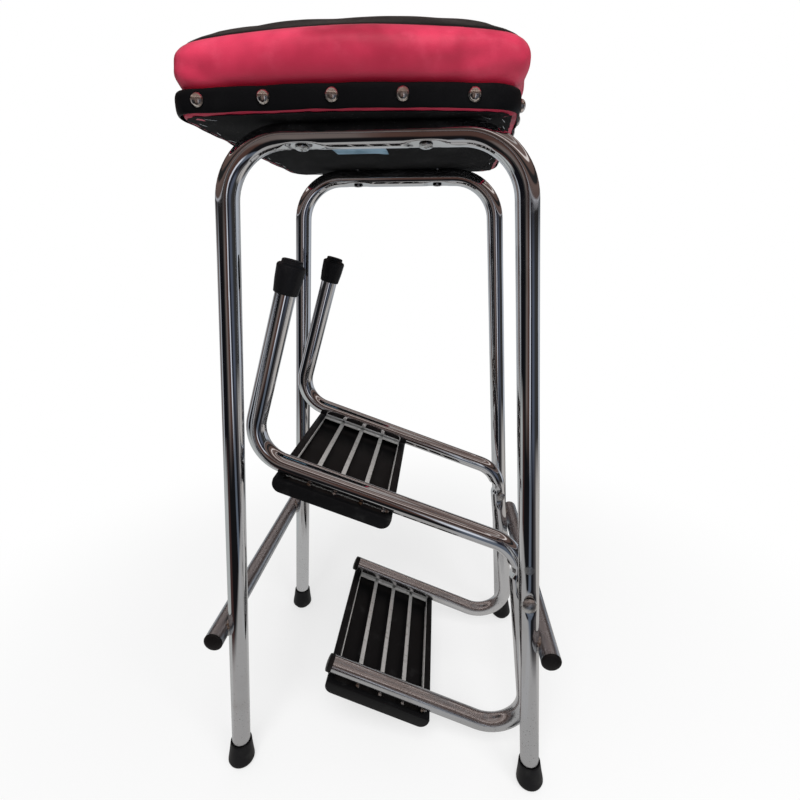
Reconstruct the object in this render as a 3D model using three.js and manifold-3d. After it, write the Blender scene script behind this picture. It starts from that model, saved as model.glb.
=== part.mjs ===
import * as THREE from 'three';
import { mergeVertices } from 'three/addons/utils/BufferGeometryUtils.js';
import Module from 'manifold-3d';

// A folding step stool chair: a padded seat on two bent tube hoops, and between their legs a
// step frame with two treads that hangs stowed and swings out to the right about two rivets.
// Millimetres. X runs to the right, the way the steps swing out, Y from the near hoop to the
// far hoop, Z up. The origin is on the floor, in the middle between the four legs.

// Clearances
const contactGap = 0.3; // between pieces that touch
const cutOverrun = 2; // how far a cut runs past the face it opens

// Fineness of round shapes
const tubeSides = 14;
const boreSides = 8;
const bendSteps = 6;
const turnedSides = 14;
const nailSides = 8;
const nailHoleSides = 6;

// Tube stock
const tubeRadius = 11;
const tubeWall = 1.2;

// Hoops: axis of the tube
const hoopHeight = 727;
const hoopTopHalfWidth = 133.5;
const hoopFootHalfWidth = 181.2;
const hoopTopHalfDepth = 127;
const hoopFootHalfDepth = 139;
const hoopBendRadius = 58;

// Cross tubes, welded into a shallow bite on the outsides of the legs
const crossTubeDrop = 58.5; // below the pivot
const crossTubeBite = 2.5;
const crossTubeOverhang = 23.3; // past the legs' axes

// Tube end plugs
const plugStemRadius = 8.7;
const plugStemLength = 12;
const plugRim = 1.2;
const crossPlugHead = 2.4;
const stepPlugHead = 6.5;

// Rubber ferrules
const ferruleLength = 35;
const ferruleMouthRadius = 13.6;
const ferruleMouthRounding = 0.9;
const ferruleDiscHeight = 3;
const ferruleStep = 2.2;
const ferruleShoulder = 2.4;
const ferruleSole = 8;
const footFlareRadius = 16;
const tipFlareRadius = 15;

// Step frame, stowed: axis of its tubes, seen from the near side
const stepBendRadius = 44;
const shoulderRise = 40.4; // corner between upper tread run and upright, above the pivot
const heelHeight = 17.1; // corner between upright and lower tread run
const uprightSetback = 3.9; // of the upright's axis from the pivot, at the pivot's height
const upperRunLength = 323.6;
const upperRunSlope = THREE.MathUtils.degToRad(19.85);
const lowerRunLength = 272.4;
const lowerRunSlope = THREE.MathUtils.degToRad(21.99);
const tipLean = THREE.MathUtils.degToRad(16.8);
const tipFloorGap = 0.8; // under the tips when the steps are out
const swingAngle = THREE.MathUtils.degToRad(161);

// Pivot
const tipHeadroom = 207; // over the stowed tips, which reach about twice as high as the pivot
const pivotInset = 1.6; // from the leg's axis towards the middle
const rivetShankRadius = 4;
const rivetHeadRadius = 8;
const rivetHeadHeight = 4.6;
const rivetHeadSeat = 0.5; // clears the round of the leg
const rivetDomeSteps = 3;
const rivetTailRadius = 6.5;
const rivetTailHeight = 3;
const bushRadius = 8;
const bushLength = 12; // keeps the step tubes off the legs

// Treads
const treadHalfWidth = 70; // along the run
const upperTreadFromBend = 107;
const lowerTreadFromEnd = 70;
const padOverhang = 16; // past the step tubes' axes
const padTop = 12.5; // below the tube axis
const padBottom = 28;
const padPlate = 3.5;
const padWall = 3;
const padLipThickness = 2.5;
const padEndLip = 9.5;
const padSideLip = 7;
const padCornerRadius = 11;
const padCornerSteps = 4;
const gridThickness = 2;
const gridStripWidth = 6.5;
const gridStripPitch = 31;
const gridStripCount = 3;
const gridBarInset = 12.5; // inwards of the step tubes' axes
const gridBarOutset = 2;
const gridFlangeThickness = 1.5;
const gridHookLength = 6;
const gridHookInset = 20;

// Seat
const seatOffset = -15.5; // the seat sits a little away from the steps
const seatTurn = THREE.MathUtils.degToRad(-2); // and is screwed on slightly askew
const boardHalfWidth = 143;
const boardOverhang = 32; // past the hoops' axes
const boardThickness = 16;
const seatCornerRadius = 22;
const seatSideBow = 2.5;
const cornerSteps = 4;
const sideSteps = 4;
const coverThickness = 1.2;
const dustCoverThickness = 0.6;
const dustCoverInset = 9;
const coverTuck = 18; // how far the side cover is tucked under the board
const bandThickness = 1.5;
const bandHeight = 19;
const bandDrop = 0.4; // the band's lower edge hangs below the tucked cover
const sideBulge = 3.5;
const seamInset = 5;
const cushionSideHeight = 41.8; // from the board up to the seam, at the middles of the sides
const seamCornerDrop = 4;
const crownRise = 23; // the middle above the seam
const crownPower = 7;
const seamTilt = THREE.MathUtils.degToRad(60); // slope of the cover's edge at the seam
const foamGap = 0.6;
const bulgeRowShares = [0.18, 0.45, 0.75];
const crownRowShares = [0.97, 0.92, 0.85, 0.74, 0.5];

// Nails and screws
const nailCount = 21;
const nailStart = -7; // first nail on the near face, from the seat's middle
const nailHeadRadius = 5.6;
const nailHeadHeight = 4;
const nailShoulderShare = 0.78;
const nailShoulderHeightShare = 0.62;
const nailPinRadius = 1.2;
const nailPinLength = 14;
const nailPinTaper = 2;
const screwHalfSpacing = 55.5;
const screwMiddle = 11; // from the seat's middle
const screwShankRadius = 2.5;
const screwHeadRadius = 4.5;
const screwHeadHeight = 2.4;
const screwHeadRounding = 1.4;
const screwInBoard = 12;
const screwTip = 2;

const quarterTurn = Math.PI / 2;
const wasm = await Module();
wasm.setup();

// Solids and cuts

function toSolid(geometry) {
  const bare = geometry.clone();
  bare.deleteAttribute('normal');
  bare.deleteAttribute('uv');
  const merged = mergeVertices(bare);
  return new wasm.Manifold(new wasm.Mesh({
    numProp: 3,
    vertProperties: merged.attributes.position.array,
    triVerts: new Uint32Array(merged.index.array),
  }));
}

function toGeometry(solid) {
  const mesh = solid.getMesh();
  const geometry = new THREE.BufferGeometry();
  geometry.setAttribute('position', new THREE.BufferAttribute(mesh.vertProperties, 3));
  geometry.setIndex(new THREE.BufferAttribute(mesh.triVerts, 1));
  geometry.computeVertexNormals();
  return geometry;
}

function cut(geometry, cutters) {
  const solid = cutters.reduce((left, cutter) => left.subtract(toSolid(cutter)), toSolid(geometry));
  return toGeometry(solid);
}

function join(geometries) {
  const solid = geometries.map(toSolid).reduce((all, next) => all.add(next));
  return toGeometry(solid);
}

// Radius of a polygon whose flats lie a given distance from its middle
function flatsRadius(distance, sides) {
  return distance / Math.cos(Math.PI / sides);
}

// A box between two corners
function block(low, high) {
  const size = new THREE.Vector3().subVectors(high, low);
  const middle = new THREE.Vector3().addVectors(low, high).multiplyScalar(1 / 2);
  return new THREE.BoxGeometry(size.x, size.y, size.z).translate(middle.x, middle.y, middle.z);
}

function rodAlong(direction, radius, sides, from, to) {
  const turn = new THREE.Quaternion().setFromUnitVectors(new THREE.Vector3(0, 1, 0), direction);
  const middle = new THREE.Vector3().addVectors(from, to).multiplyScalar(1 / 2);
  return new THREE.CylinderGeometry(radius, radius, from.distanceTo(to), sides)
    .applyQuaternion(turn)
    .translate(middle.x, middle.y, middle.z);
}

function rod(radius, sides, from, to) {
  return rodAlong(new THREE.Vector3().subVectors(to, from).normalize(), radius, sides, from, to);
}

// A profile of [radius, height] points turned about the Y axis
function turned(profile, sides = turnedSides) {
  const points = profile.map(([radius, height]) => new THREE.Vector2(radius, height));
  return new THREE.LatheGeometry(points, sides);
}

// The rounded outline of a head, from its middle out to its rim
function dome(radius, height, steps) {
  return Array.from({ length: steps + 1 }, (_, i) => {
    const angle = quarterTurn * i / steps;
    return [radius * Math.sin(angle), height * Math.cos(angle)];
  });
}

// The axis of a bent tube: straight runs between corners, with an arc at each inner corner.
// The whole run lies in one plane.
class BentRun extends THREE.Curve {
  constructor(corners, bendRadius) {
    super();
    this.points = [corners[0]];
    this.tangents = [new THREE.Vector3().subVectors(corners[1], corners[0]).normalize()];
    for (let i = 1; i < corners.length - 1; i += 1) {
      this.addBend(corners[i - 1], corners[i], corners[i + 1], bendRadius);
    }
    this.points.push(corners.at(-1));
    this.tangents.push(new THREE.Vector3().subVectors(corners.at(-1), corners.at(-2)).normalize());
    const straight = corners.length === 2;
    const inPlane = straight ? new THREE.Vector3(1, 0, 0) : this.tangents[bendSteps];
    this.across = new THREE.Vector3().crossVectors(this.tangents[0], inPlane).normalize();
  }

  addBend(before, corner, after, radius) {
    const arriving = new THREE.Vector3().subVectors(corner, before).normalize();
    const leaving = new THREE.Vector3().subVectors(after, corner).normalize();
    const turn = arriving.angleTo(leaving);
    const axis = new THREE.Vector3().crossVectors(arriving, leaving).normalize();
    const start = corner.clone().addScaledVector(arriving, -radius * Math.tan(turn / 2));
    const inwards = new THREE.Vector3().crossVectors(axis, arriving);
    const centre = start.clone().addScaledVector(inwards, radius);
    for (let step = 0; step <= bendSteps; step += 1) {
      const angle = turn * step / bendSteps;
      const spoke = new THREE.Vector3().subVectors(start, centre).applyAxisAngle(axis, angle);
      this.points.push(centre.clone().add(spoke));
      this.tangents.push(arriving.clone().applyAxisAngle(axis, angle));
    }
  }

  getSpacedPoints() {
    return this.points;
  }

  computeFrenetFrames() {
    return {
      tangents: this.tangents,
      normals: this.tangents.map((tangent) => new THREE.Vector3().crossVectors(this.across, tangent)),
      binormals: this.tangents.map(() => this.across),
    };
  }
}

function ringPoints(radius, sides) {
  return Array.from({ length: sides }, (_, i) => {
    const angle = 2 * Math.PI * i / sides;
    return new THREE.Vector2(radius * Math.cos(angle), radius * Math.sin(angle));
  });
}

// A hollow round tube along a bent run
function tube(corners, bendRadius) {
  const section = new THREE.Shape(ringPoints(tubeRadius, tubeSides));
  section.holes.push(new THREE.Path(ringPoints(tubeRadius - tubeWall, boreSides)));
  const run = new BentRun(corners, bendRadius);
  return new THREE.ExtrudeGeometry(section, { steps: run.points.length - 1, extrudePath: run });
}

// Materials

function finish(color, roughness, metalness) {
  return new THREE.MeshStandardMaterial({ color, roughness, metalness });
}

const chrome = finish(0xc9cdd2, 0.08, 1);
const zinc = finish(0x9da2a6, 0.35, 1);
const rubber = finish(0x141414, 0.7, 0);
const plastic = finish(0x17171a, 0.5, 0);
const treadPlastic = finish(0x131314, 0.6, 0);
const gridSteel = finish(0x9a9a98, 0.4, 1);
const nickel = finish(0xd8cfc4, 0.15, 1);
const crimsonVinyl = finish(0xb52a4b, 0.45, 0);
const blackVinyl = finish(0x151617, 0.4, 0);
const plywood = finish(0xb08d5f, 0.8, 0);
const foam = finish(0xe4dcae, 0.95, 0);
const blackCloth = finish(0x121212, 0.95, 0);

const stool = new THREE.Group();

function add(name, geometry, material, parent = stool) {
  const mesh = new THREE.Mesh(geometry, material);
  mesh.name = name;
  parent.add(mesh);
  return mesh;
}

const ends = [['near', -1], ['far', 1]];
const flanks = [['left', -1], ['right', 1]];

// Places on the frame

const footSpread = (hoopFootHalfWidth - hoopTopHalfWidth) / hoopHeight;
const footDepthSpread = (hoopFootHalfDepth - hoopTopHalfDepth) / hoopHeight;
const legLean = Math.atan(footSpread);

// A point on a leg's axis at some height
function legPoint(flank, end, height) {
  const drop = hoopHeight - height;
  return new THREE.Vector3(
    flank * (hoopTopHalfWidth + drop * footSpread),
    end * (hoopTopHalfDepth + drop * footDepthSpread),
    height,
  );
}

const pivotHeight = (hoopHeight - tipHeadroom) / 2;
const crossTubeHeight = pivotHeight - crossTubeDrop;
const crossTubeOut = (2 * tubeRadius - crossTubeBite) / Math.cos(legLean);
const crossTubeX = legPoint(1, 1, crossTubeHeight).x + crossTubeOut;
const crossTubeHalfLength = legPoint(1, 1, crossTubeHeight).y + crossTubeOverhang;
const pivot = new THREE.Vector3(legPoint(1, 1, pivotHeight).x - pivotInset, 0, pivotHeight);

// Along Y, from the outside of a leg inwards: rivet head, leg, bush and step tube
const legOuter = legPoint(1, 1, pivotHeight).y + tubeRadius + rivetHeadSeat;
const legInner = legPoint(1, 1, pivotHeight).y - tubeRadius;
const bushOuterEnd = legInner - contactGap - bushRadius * footDepthSpread;
const bushInnerEnd = bushOuterEnd - bushLength;
const stepTubeHalfSpacing = bushInnerEnd - contactGap - tubeRadius;
const rivetTail = stepTubeHalfSpacing - tubeRadius - contactGap;

// Hoops with their holes for the rivet and the seat screws

// A screw's place: on the hoop's axis, and in line with the seat
function screwPlace(flank, end, height) {
  const y = end * hoopTopHalfDepth;
  const x = seatOffset + screwMiddle + flank * screwHalfSpacing - y * Math.tan(seatTurn);
  return new THREE.Vector3(x, y, height);
}

function screwHoles(end, radius, bottom, top) {
  return flanks.map(([, flank]) => {
    const from = screwPlace(flank, end, bottom);
    return rod(radius, boreSides, from, screwPlace(flank, end, top));
  });
}

const rivetHoleRadius = flatsRadius(rivetShankRadius + contactGap, boreSides);
const screwHoleRadius = flatsRadius(screwShankRadius + contactGap, boreSides);

function pivotHole(end, middle) {
  const half = tubeRadius + cutOverrun;
  const from = new THREE.Vector3(pivot.x, end * middle - half, pivot.z);
  const to = new THREE.Vector3(pivot.x, end * middle + half, pivot.z);
  return rod(rivetHoleRadius, boreSides, from, to);
}

// Where a leg's tube ends inside its ferrule
const footDiscRadius = footFlareRadius - ferruleStep;
const footSink = footDiscRadius * Math.sin(Math.atan(Math.hypot(footSpread, footDepthSpread)));
const legEndHeight = ferruleSole + contactGap - footSink;

for (const [endName, end] of ends) {
  const corners = [
    legPoint(-1, end, legEndHeight),
    legPoint(-1, end, hoopHeight),
    legPoint(1, end, hoopHeight),
    legPoint(1, end, legEndHeight),
  ];
  const holeBottom = hoopHeight - tubeRadius - cutOverrun;
  const holeTop = hoopHeight + tubeRadius + cutOverrun;
  const holes = [
    pivotHole(end, legPoint(1, 1, pivotHeight).y),
    ...screwHoles(end, screwHoleRadius, holeBottom, holeTop),
  ];
  add(`${endName}_hoop`, cut(tube(corners, hoopBendRadius), holes), chrome);
}

// Ferrules, standing on their sole with the mouth up the Y axis

function ferrule(flareRadius) {
  const discRadius = flareRadius - ferruleStep;
  const boreRadius = flatsRadius(tubeRadius + contactGap, turnedSides);
  return turned([
    [0, 0],
    [discRadius, 0],
    [discRadius, ferruleDiscHeight],
    [flareRadius - ferruleMouthRounding, ferruleDiscHeight],
    [flareRadius, ferruleDiscHeight + ferruleShoulder],
    [ferruleMouthRadius, ferruleLength - ferruleMouthRounding],
    [ferruleMouthRadius - ferruleMouthRounding, ferruleLength],
    [boreRadius, ferruleLength],
    [boreRadius, ferruleSole],
    [0, ferruleSole],
  ]);
}

function pointAlong(geometry, direction) {
  return geometry.applyQuaternion(
    new THREE.Quaternion().setFromUnitVectors(new THREE.Vector3(0, 1, 0), direction),
  );
}

// The feet are worn flat on the floor
for (const [endName, end] of ends) {
  for (const [flankName, flank] of flanks) {
    const onFloor = legPoint(flank, end, -footSink);
    const up = new THREE.Vector3().subVectors(legPoint(flank, end, hoopHeight), onFloor).normalize();
    const foot = pointAlong(ferrule(footFlareRadius), up).translate(onFloor.x, onFloor.y, onFloor.z);
    const reach = footFlareRadius + ferruleLength;
    const underFloor = block(
      new THREE.Vector3(onFloor.x - reach, onFloor.y - reach, -reach),
      new THREE.Vector3(onFloor.x + reach, onFloor.y + reach, 0),
    );
    add(`foot_${endName}_${flankName}`, cut(foot, [underFloor]), rubber);
  }
}

// A black plug: its stem along -Y inside the tube, its head just outside
function tubePlug(headHeight) {
  return turned([
    [0, -plugStemLength],
    [plugStemRadius, -plugStemLength],
    [plugStemRadius, contactGap],
    [tubeRadius, contactGap],
    [tubeRadius - plugRim / 2, headHeight - plugRim],
    [tubeRadius - 2 * plugRim, headHeight],
    [0, headHeight + plugRim / 2],
  ]);
}

// Cross tubes, notched where they are welded to the legs

for (const [flankName, flank] of flanks) {
  const x = flank * crossTubeX;
  const near = new THREE.Vector3(x, -crossTubeHalfLength, crossTubeHeight);
  const far = new THREE.Vector3(x, crossTubeHalfLength, crossTubeHeight);
  const notchRadius = flatsRadius(tubeRadius + contactGap, tubeSides);
  const notchReach = 2 * tubeRadius;
  const notches = ends.map(([, end]) => rod(
    notchRadius,
    tubeSides,
    legPoint(flank, end, crossTubeHeight - notchReach),
    legPoint(flank, end, crossTubeHeight + notchReach),
  ));
  add(`${flankName}_cross_tube`, cut(tube([near, far], 0), notches), zinc);
  for (const [endName, end] of ends) {
    const plug = pointAlong(tubePlug(crossPlugHead), new THREE.Vector3(0, end, 0));
    add(
      `cross_plug_${endName}_${flankName}`,
      plug.translate(x, end * crossTubeHalfLength, crossTubeHeight),
      plastic,
    );
  }
}

// Step frame, built as it hangs stowed. Its points are seen from the near side.

function runFrom(start, slopeFromX, length) {
  return new THREE.Vector3(
    start.x + length * Math.cos(slopeFromX),
    0,
    start.z + length * Math.sin(slopeFromX),
  );
}

// The upright passes just behind the pivot and leans against the inner side of the right cross
// tube
const besidePivot = new THREE.Vector3(pivot.x - uprightSetback, 0, pivotHeight);
const toCrossTube = new THREE.Vector3(crossTubeX, 0, crossTubeHeight).sub(besidePivot);
const uprightLean = Math.atan2(toCrossTube.x, -toCrossTube.z)
  - Math.asin((2 * tubeRadius + contactGap) / toCrossTube.length());
const shoulderHeight = pivotHeight + shoulderRise;
const uprightUp = quarterTurn + uprightLean;
const restPoint = runFrom(
  new THREE.Vector3(crossTubeX, 0, crossTubeHeight),
  Math.PI + uprightLean,
  2 * tubeRadius + contactGap,
);
const shoulder = runFrom(restPoint, uprightUp, (shoulderHeight - restPoint.z) / Math.cos(uprightLean));
const heel = runFrom(restPoint, uprightUp, (heelHeight - restPoint.z) / Math.cos(uprightLean));
const elbow = runFrom(shoulder, Math.PI - upperRunSlope, upperRunLength);
const lowerEnd = runFrom(heel, Math.PI - lowerRunSlope, lowerRunLength);

// The tips reach the floor when the frame has swung out
const tipDiscRadius = tipFlareRadius - ferruleStep;
const tipUp = quarterTurn - tipLean;
const swingAxis = new THREE.Vector3(0, 1, 0);
const elbowOut = elbow.clone().sub(pivot).applyAxisAngle(swingAxis, swingAngle).add(pivot);
const tipOutSlope = Math.abs(tipUp - swingAngle + quarterTurn);
const tipDrop = elbowOut.z - tipFloorGap - tipDiscRadius * Math.sin(tipOutSlope);
const tipLength = tipDrop / Math.cos(tipOutSlope);
const tipEnd = runFrom(elbow, tipUp, tipLength);
const tipTubeEnd = runFrom(elbow, tipUp, tipLength - ferruleSole - contactGap);

for (const [endName, end] of ends) {
  const across = new THREE.Vector3(0, end * stepTubeHalfSpacing, 0);
  const corners = [tipTubeEnd, elbow, shoulder, heel, lowerEnd]
    .map((corner) => corner.clone().add(across));
  const stepTube = cut(tube(corners, stepBendRadius), [pivotHole(end, stepTubeHalfSpacing)]);
  add(`${endName}_step_tube`, stepTube, chrome);

  const downTip = new THREE.Vector3().subVectors(elbow, tipEnd).normalize();
  const tipFoot = pointAlong(ferrule(tipFlareRadius), downTip);
  add(`tip_foot_${endName}`, tipFoot.translate(tipEnd.x, across.y, tipEnd.z), rubber);

  const outwards = new THREE.Vector3().subVectors(lowerEnd, heel).normalize();
  const plug = pointAlong(tubePlug(stepPlugHead), outwards);
  add(`step_plug_${endName}`, plug.translate(lowerEnd.x, across.y, lowerEnd.z), plastic);
}

// Rivets and bushes

for (const [endName, end] of ends) {
  const inwards = new THREE.Vector3(0, -end, 0);
  const rivet = turned([
    ...dome(rivetHeadRadius, -rivetHeadHeight, rivetDomeSteps),
    [rivetShankRadius, 0],
    [rivetShankRadius, legOuter - rivetTail],
    [rivetTailRadius, legOuter - rivetTail],
    [rivetTailRadius, legOuter - rivetTail + rivetTailHeight / 2],
    [rivetTailRadius / 2, legOuter - rivetTail + rivetTailHeight],
    [0, legOuter - rivetTail + rivetTailHeight],
  ]);
  pointAlong(rivet, inwards).translate(pivot.x, end * legOuter, pivot.z);
  add(`pivot_rivet_${endName}`, rivet, nickel);

  const bush = turned([
    [rivetHoleRadius, 0],
    [bushRadius, 0],
    [bushRadius, bushLength],
    [rivetHoleRadius, bushLength],
    [rivetHoleRadius, 0],
  ]);
  const outwards = new THREE.Vector3(0, end, 0);
  pointAlong(bush, outwards).translate(pivot.x, end * bushInnerEnd, pivot.z);
  add(`pivot_bush_${endName}`, bush, nickel);
}

// Treads. X runs along the run, down its slope, and Z points from the tread to the tube axis.

const padHalfDepth = stepTubeHalfSpacing + padOverhang;
const gridBarInner = stepTubeHalfSpacing - gridBarInset;
const gridBarOuter = stepTubeHalfSpacing + gridBarOutset;
const gridHookHalfDepth = stepTubeHalfSpacing - gridHookInset;

function treadGrid() {
  const top = -tubeRadius - contactGap;
  const bottom = top - gridThickness;
  const reach = treadHalfWidth - padEndLip - contactGap;
  const stripEnd = padHalfDepth - padSideLip - contactGap;
  const hookTop = -padTop - padLipThickness - contactGap;
  const hookBottom = hookTop - gridFlangeThickness;
  const pieces = [];
  for (let i = 0; i < gridStripCount; i += 1) {
    const x = (i - (gridStripCount - 1) / 2) * gridStripPitch;
    pieces.push(block(
      new THREE.Vector3(x - gridStripWidth / 2, -stripEnd, bottom),
      new THREE.Vector3(x + gridStripWidth / 2, stripEnd, top),
    ));
  }
  for (const [, end] of ends) {
    const [low, high] = [end * gridBarInner, end * gridBarOuter].sort((a, b) => a - b);
    pieces.push(block(new THREE.Vector3(-reach, low, bottom), new THREE.Vector3(reach, high, top)));
  }
  for (const [, flank] of flanks) {
    const [low, high] = [flank * reach, flank * (reach - gridFlangeThickness)].sort((a, b) => a - b);
    pieces.push(block(
      new THREE.Vector3(low, -gridBarOuter, hookBottom),
      new THREE.Vector3(high, gridBarOuter, top),
    ));
    const [inner, outer] = [flank * (reach - gridFlangeThickness), flank * (reach + gridHookLength)]
      .sort((a, b) => a - b);
    pieces.push(block(
      new THREE.Vector3(inner, -gridHookHalfDepth, hookBottom),
      new THREE.Vector3(outer, gridHookHalfDepth, hookTop),
    ));
  }
  return join(pieces);
}

function treadPad() {
  const cornerX = treadHalfWidth - padCornerRadius;
  const cornerY = padCornerRadius - padBottom;
  const halfTurn = 2 * quarterTurn;
  const outline = new THREE.Shape();
  outline.moveTo(treadHalfWidth, -padTop);
  outline.lineTo(-treadHalfWidth, -padTop);
  outline.absarc(-cornerX, cornerY, padCornerRadius, -halfTurn, -quarterTurn, false);
  outline.absarc(cornerX, cornerY, padCornerRadius, -quarterTurn, 0, false);
  outline.closePath();
  const body = new THREE.ExtrudeGeometry(outline, {
    depth: 2 * padHalfDepth,
    bevelEnabled: false,
    curveSegments: padCornerSteps,
  });
  body.rotateX(quarterTurn).translate(0, padHalfDepth, 0);
  const hollowWidth = treadHalfWidth - padWall;
  const hollowDepth = padHalfDepth - padWall;
  const hollow = block(
    new THREE.Vector3(-hollowWidth, -hollowDepth, padPlate - padBottom),
    new THREE.Vector3(hollowWidth, hollowDepth, -padTop - padLipThickness),
  );
  const mouthWidth = treadHalfWidth - padEndLip;
  const mouthDepth = padHalfDepth - padSideLip;
  const mouth = block(
    new THREE.Vector3(-mouthWidth, -mouthDepth, -padTop - padLipThickness - cutOverrun),
    new THREE.Vector3(mouthWidth, mouthDepth, -padTop + cutOverrun),
  );
  return cut(body, [hollow, mouth]);
}

const treads = [
  ['upper', runFrom(elbow, -upperRunSlope, upperTreadFromBend), upperRunSlope],
  ['lower', runFrom(lowerEnd, -lowerRunSlope, lowerTreadFromEnd), lowerRunSlope],
];
for (const [name, place, slope] of treads) {
  const tread = new THREE.Group();
  tread.position.copy(place);
  tread.rotation.y = slope;
  stool.add(tread);
  add(`${name}_tread_grid`, treadGrid(), gridSteel, tread);
  add(`${name}_tread_pad`, treadPad(), treadPlastic, tread);
}

// Seat: outline points of a rounded rectangle whose sides bow out a little, grown by some
// amount. It starts at the right of the far right corner and runs anticlockwise.

const boardHalfDepth = hoopTopHalfDepth + boardOverhang;

function seatOutline(grow) {
  const points = [];
  const middleX = boardHalfWidth - seatCornerRadius;
  const middleY = boardHalfDepth - seatCornerRadius;
  const corners = [[1, 1], [-1, 1], [-1, -1], [1, -1]];
  corners.forEach(([signX, signY], quarter) => {
    const centre = new THREE.Vector2(signX * middleX, signY * middleY);
    for (let step = 0; step <= cornerSteps; step += 1) {
      const angle = quarterTurn * (quarter + step / cornerSteps);
      const outwards = new THREE.Vector2(Math.cos(angle), Math.sin(angle));
      points.push(centre.clone().addScaledVector(outwards, seatCornerRadius + grow));
    }
    const angle = quarterTurn * (quarter + 1);
    const outwards = new THREE.Vector2(Math.cos(angle), Math.sin(angle));
    const [nextX, nextY] = corners[(quarter + 1) % corners.length];
    const nextCentre = new THREE.Vector2(nextX * middleX, nextY * middleY);
    for (let step = 1; step < sideSteps; step += 1) {
      const along = step / sideSteps;
      const bow = seatSideBow * Math.sin(Math.PI * along);
      const onSide = centre.clone().lerp(nextCentre, along);
      points.push(onSide.addScaledVector(outwards, seatCornerRadius + grow + bow));
    }
  });
  return points;
}

function outlineShape(grow) {
  return new THREE.Shape(seatOutline(grow));
}

function slab(shape, bottom, thickness) {
  return new THREE.ExtrudeGeometry(shape, { depth: thickness, bevelEnabled: false })
    .translate(0, 0, bottom);
}

const seatBottom = hoopHeight + tubeRadius + contactGap;
const tuckBottom = seatBottom + dustCoverThickness + contactGap;
const boardBottom = tuckBottom + coverThickness + contactGap;
const boardTop = boardBottom + boardThickness;
const seamHeight = boardTop + cushionSideHeight;
const coverOut = coverThickness + contactGap; // cover's outer face beyond the board's edge
const bandIn = coverOut + contactGap;
const bandOut = bandIn + bandThickness;
const bandBottom = tuckBottom - bandDrop;
const bandTop = bandBottom + bandHeight;

const seatGroup = new THREE.Group();
seatGroup.position.x = seatOffset;
seatGroup.rotation.z = seatTurn;
stool.add(seatGroup);
stool.updateMatrixWorld(true);

// Closed surface through rings of equally many points, the first and last ring closed by a
// middle point, or joined to each other where the surface is a ring tube. Each patch is split
// from its lower row's point, so that nested surfaces bend alike.
function loft(rings, firstMiddle, lastMiddle) {
  const positions = [];
  const triangle = (a, b, c) => [a, b, c].forEach((point) => positions.push(point.x, point.y, point.z));
  const count = rings[0].length;
  const strips = firstMiddle ? rings.length - 1 : rings.length;
  for (let row = 0; row < strips; row += 1) {
    const lower = rings[row];
    const upper = rings[(row + 1) % rings.length];
    const climbing = lower[0].z <= upper[0].z;
    for (let i = 0; i < count; i += 1) {
      const next = (i + 1) % count;
      if (climbing) {
        triangle(lower[i], lower[next], upper[next]);
        triangle(lower[i], upper[next], upper[i]);
      } else {
        triangle(lower[i], lower[next], upper[i]);
        triangle(lower[next], upper[next], upper[i]);
      }
    }
  }
  if (firstMiddle) {
    for (let i = 0; i < count; i += 1) {
      const next = (i + 1) % count;
      triangle(firstMiddle, rings[0][next], rings[0][i]);
      triangle(lastMiddle, rings.at(-1)[i], rings.at(-1)[next]);
    }
  }
  const geometry = new THREE.BufferGeometry();
  geometry.setAttribute('position', new THREE.Float32BufferAttribute(positions, 3));
  geometry.computeVertexNormals();
  return geometry;
}

// A ring of the cushion: the outline grown by some amount, at a height that depends on the
// point, then drawn towards the middle by a share
function cushionRing(grow, heightAt, drawShare = 1) {
  return seatOutline(grow).map((point) => new THREE.Vector3(
    point.x * drawShare,
    point.y * drawShare,
    heightAt(point),
  ));
}

// The seam sinks a little towards the corners
function seamAt(point) {
  const cornerShare = (point.x / boardHalfWidth) ** 2 * (point.y / boardHalfDepth) ** 2;
  return seamHeight - seamCornerDrop * cornerShare;
}

const crownTop = seamHeight + crownRise;
const seamGrow = coverOut - seamInset;
const seamAcross = coverThickness * Math.cos(seamTilt);
const seamDown = coverThickness * Math.sin(seamTilt);

// Side of the cushion at a share of the way from the band to the seam, drawn in by some depth
function sideRing(share, depth) {
  return cushionRing(
    coverOut + sideBulge * Math.sin(Math.PI * share) - depth,
    (point) => THREE.MathUtils.lerp(bandTop, seamAt(point), share),
  );
}

// Top of the cushion: rising from its rim to the crown, lowered by some depth
function crownRing(share, grow, depth) {
  return cushionRing(
    grow,
    (point) => THREE.MathUtils.lerp(crownTop, seamAt(point), share ** crownPower) - depth,
    share,
  );
}

function sideCover() {
  const outer = [
    cushionRing(coverOut - coverTuck, () => tuckBottom),
    cushionRing(coverOut, () => tuckBottom),
    cushionRing(coverOut, () => bandTop),
    ...bulgeRowShares.map((share) => sideRing(share, 0)),
    cushionRing(seamGrow, seamAt),
  ];
  const inner = [
    cushionRing(seamGrow - seamAcross, (point) => seamAt(point) - seamDown),
    ...bulgeRowShares.map((share) => sideRing(share, coverThickness)).reverse(),
    cushionRing(contactGap, () => bandTop),
    cushionRing(contactGap, () => tuckBottom + coverThickness),
    cushionRing(coverOut - coverTuck, () => tuckBottom + coverThickness),
  ];
  return loft([...outer, ...inner]);
}

function topCover() {
  const grow = seamGrow - contactGap * Math.sin(seamTilt);
  const seamGapUp = contactGap * Math.cos(seamTilt);
  const outer = [
    cushionRing(grow, (point) => seamAt(point) + seamGapUp),
    ...crownRowShares.map((share) => crownRing(share, grow, 0)),
  ];
  const inner = [
    ...crownRowShares.map((share) => crownRing(share, grow, coverThickness)).reverse(),
    cushionRing(grow - seamAcross, (point) => seamAt(point) + seamGapUp - seamDown),
  ];
  return loft(
    [...inner, ...outer],
    new THREE.Vector3(0, 0, crownTop - coverThickness),
    new THREE.Vector3(0, 0, crownTop),
  );
}

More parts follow.
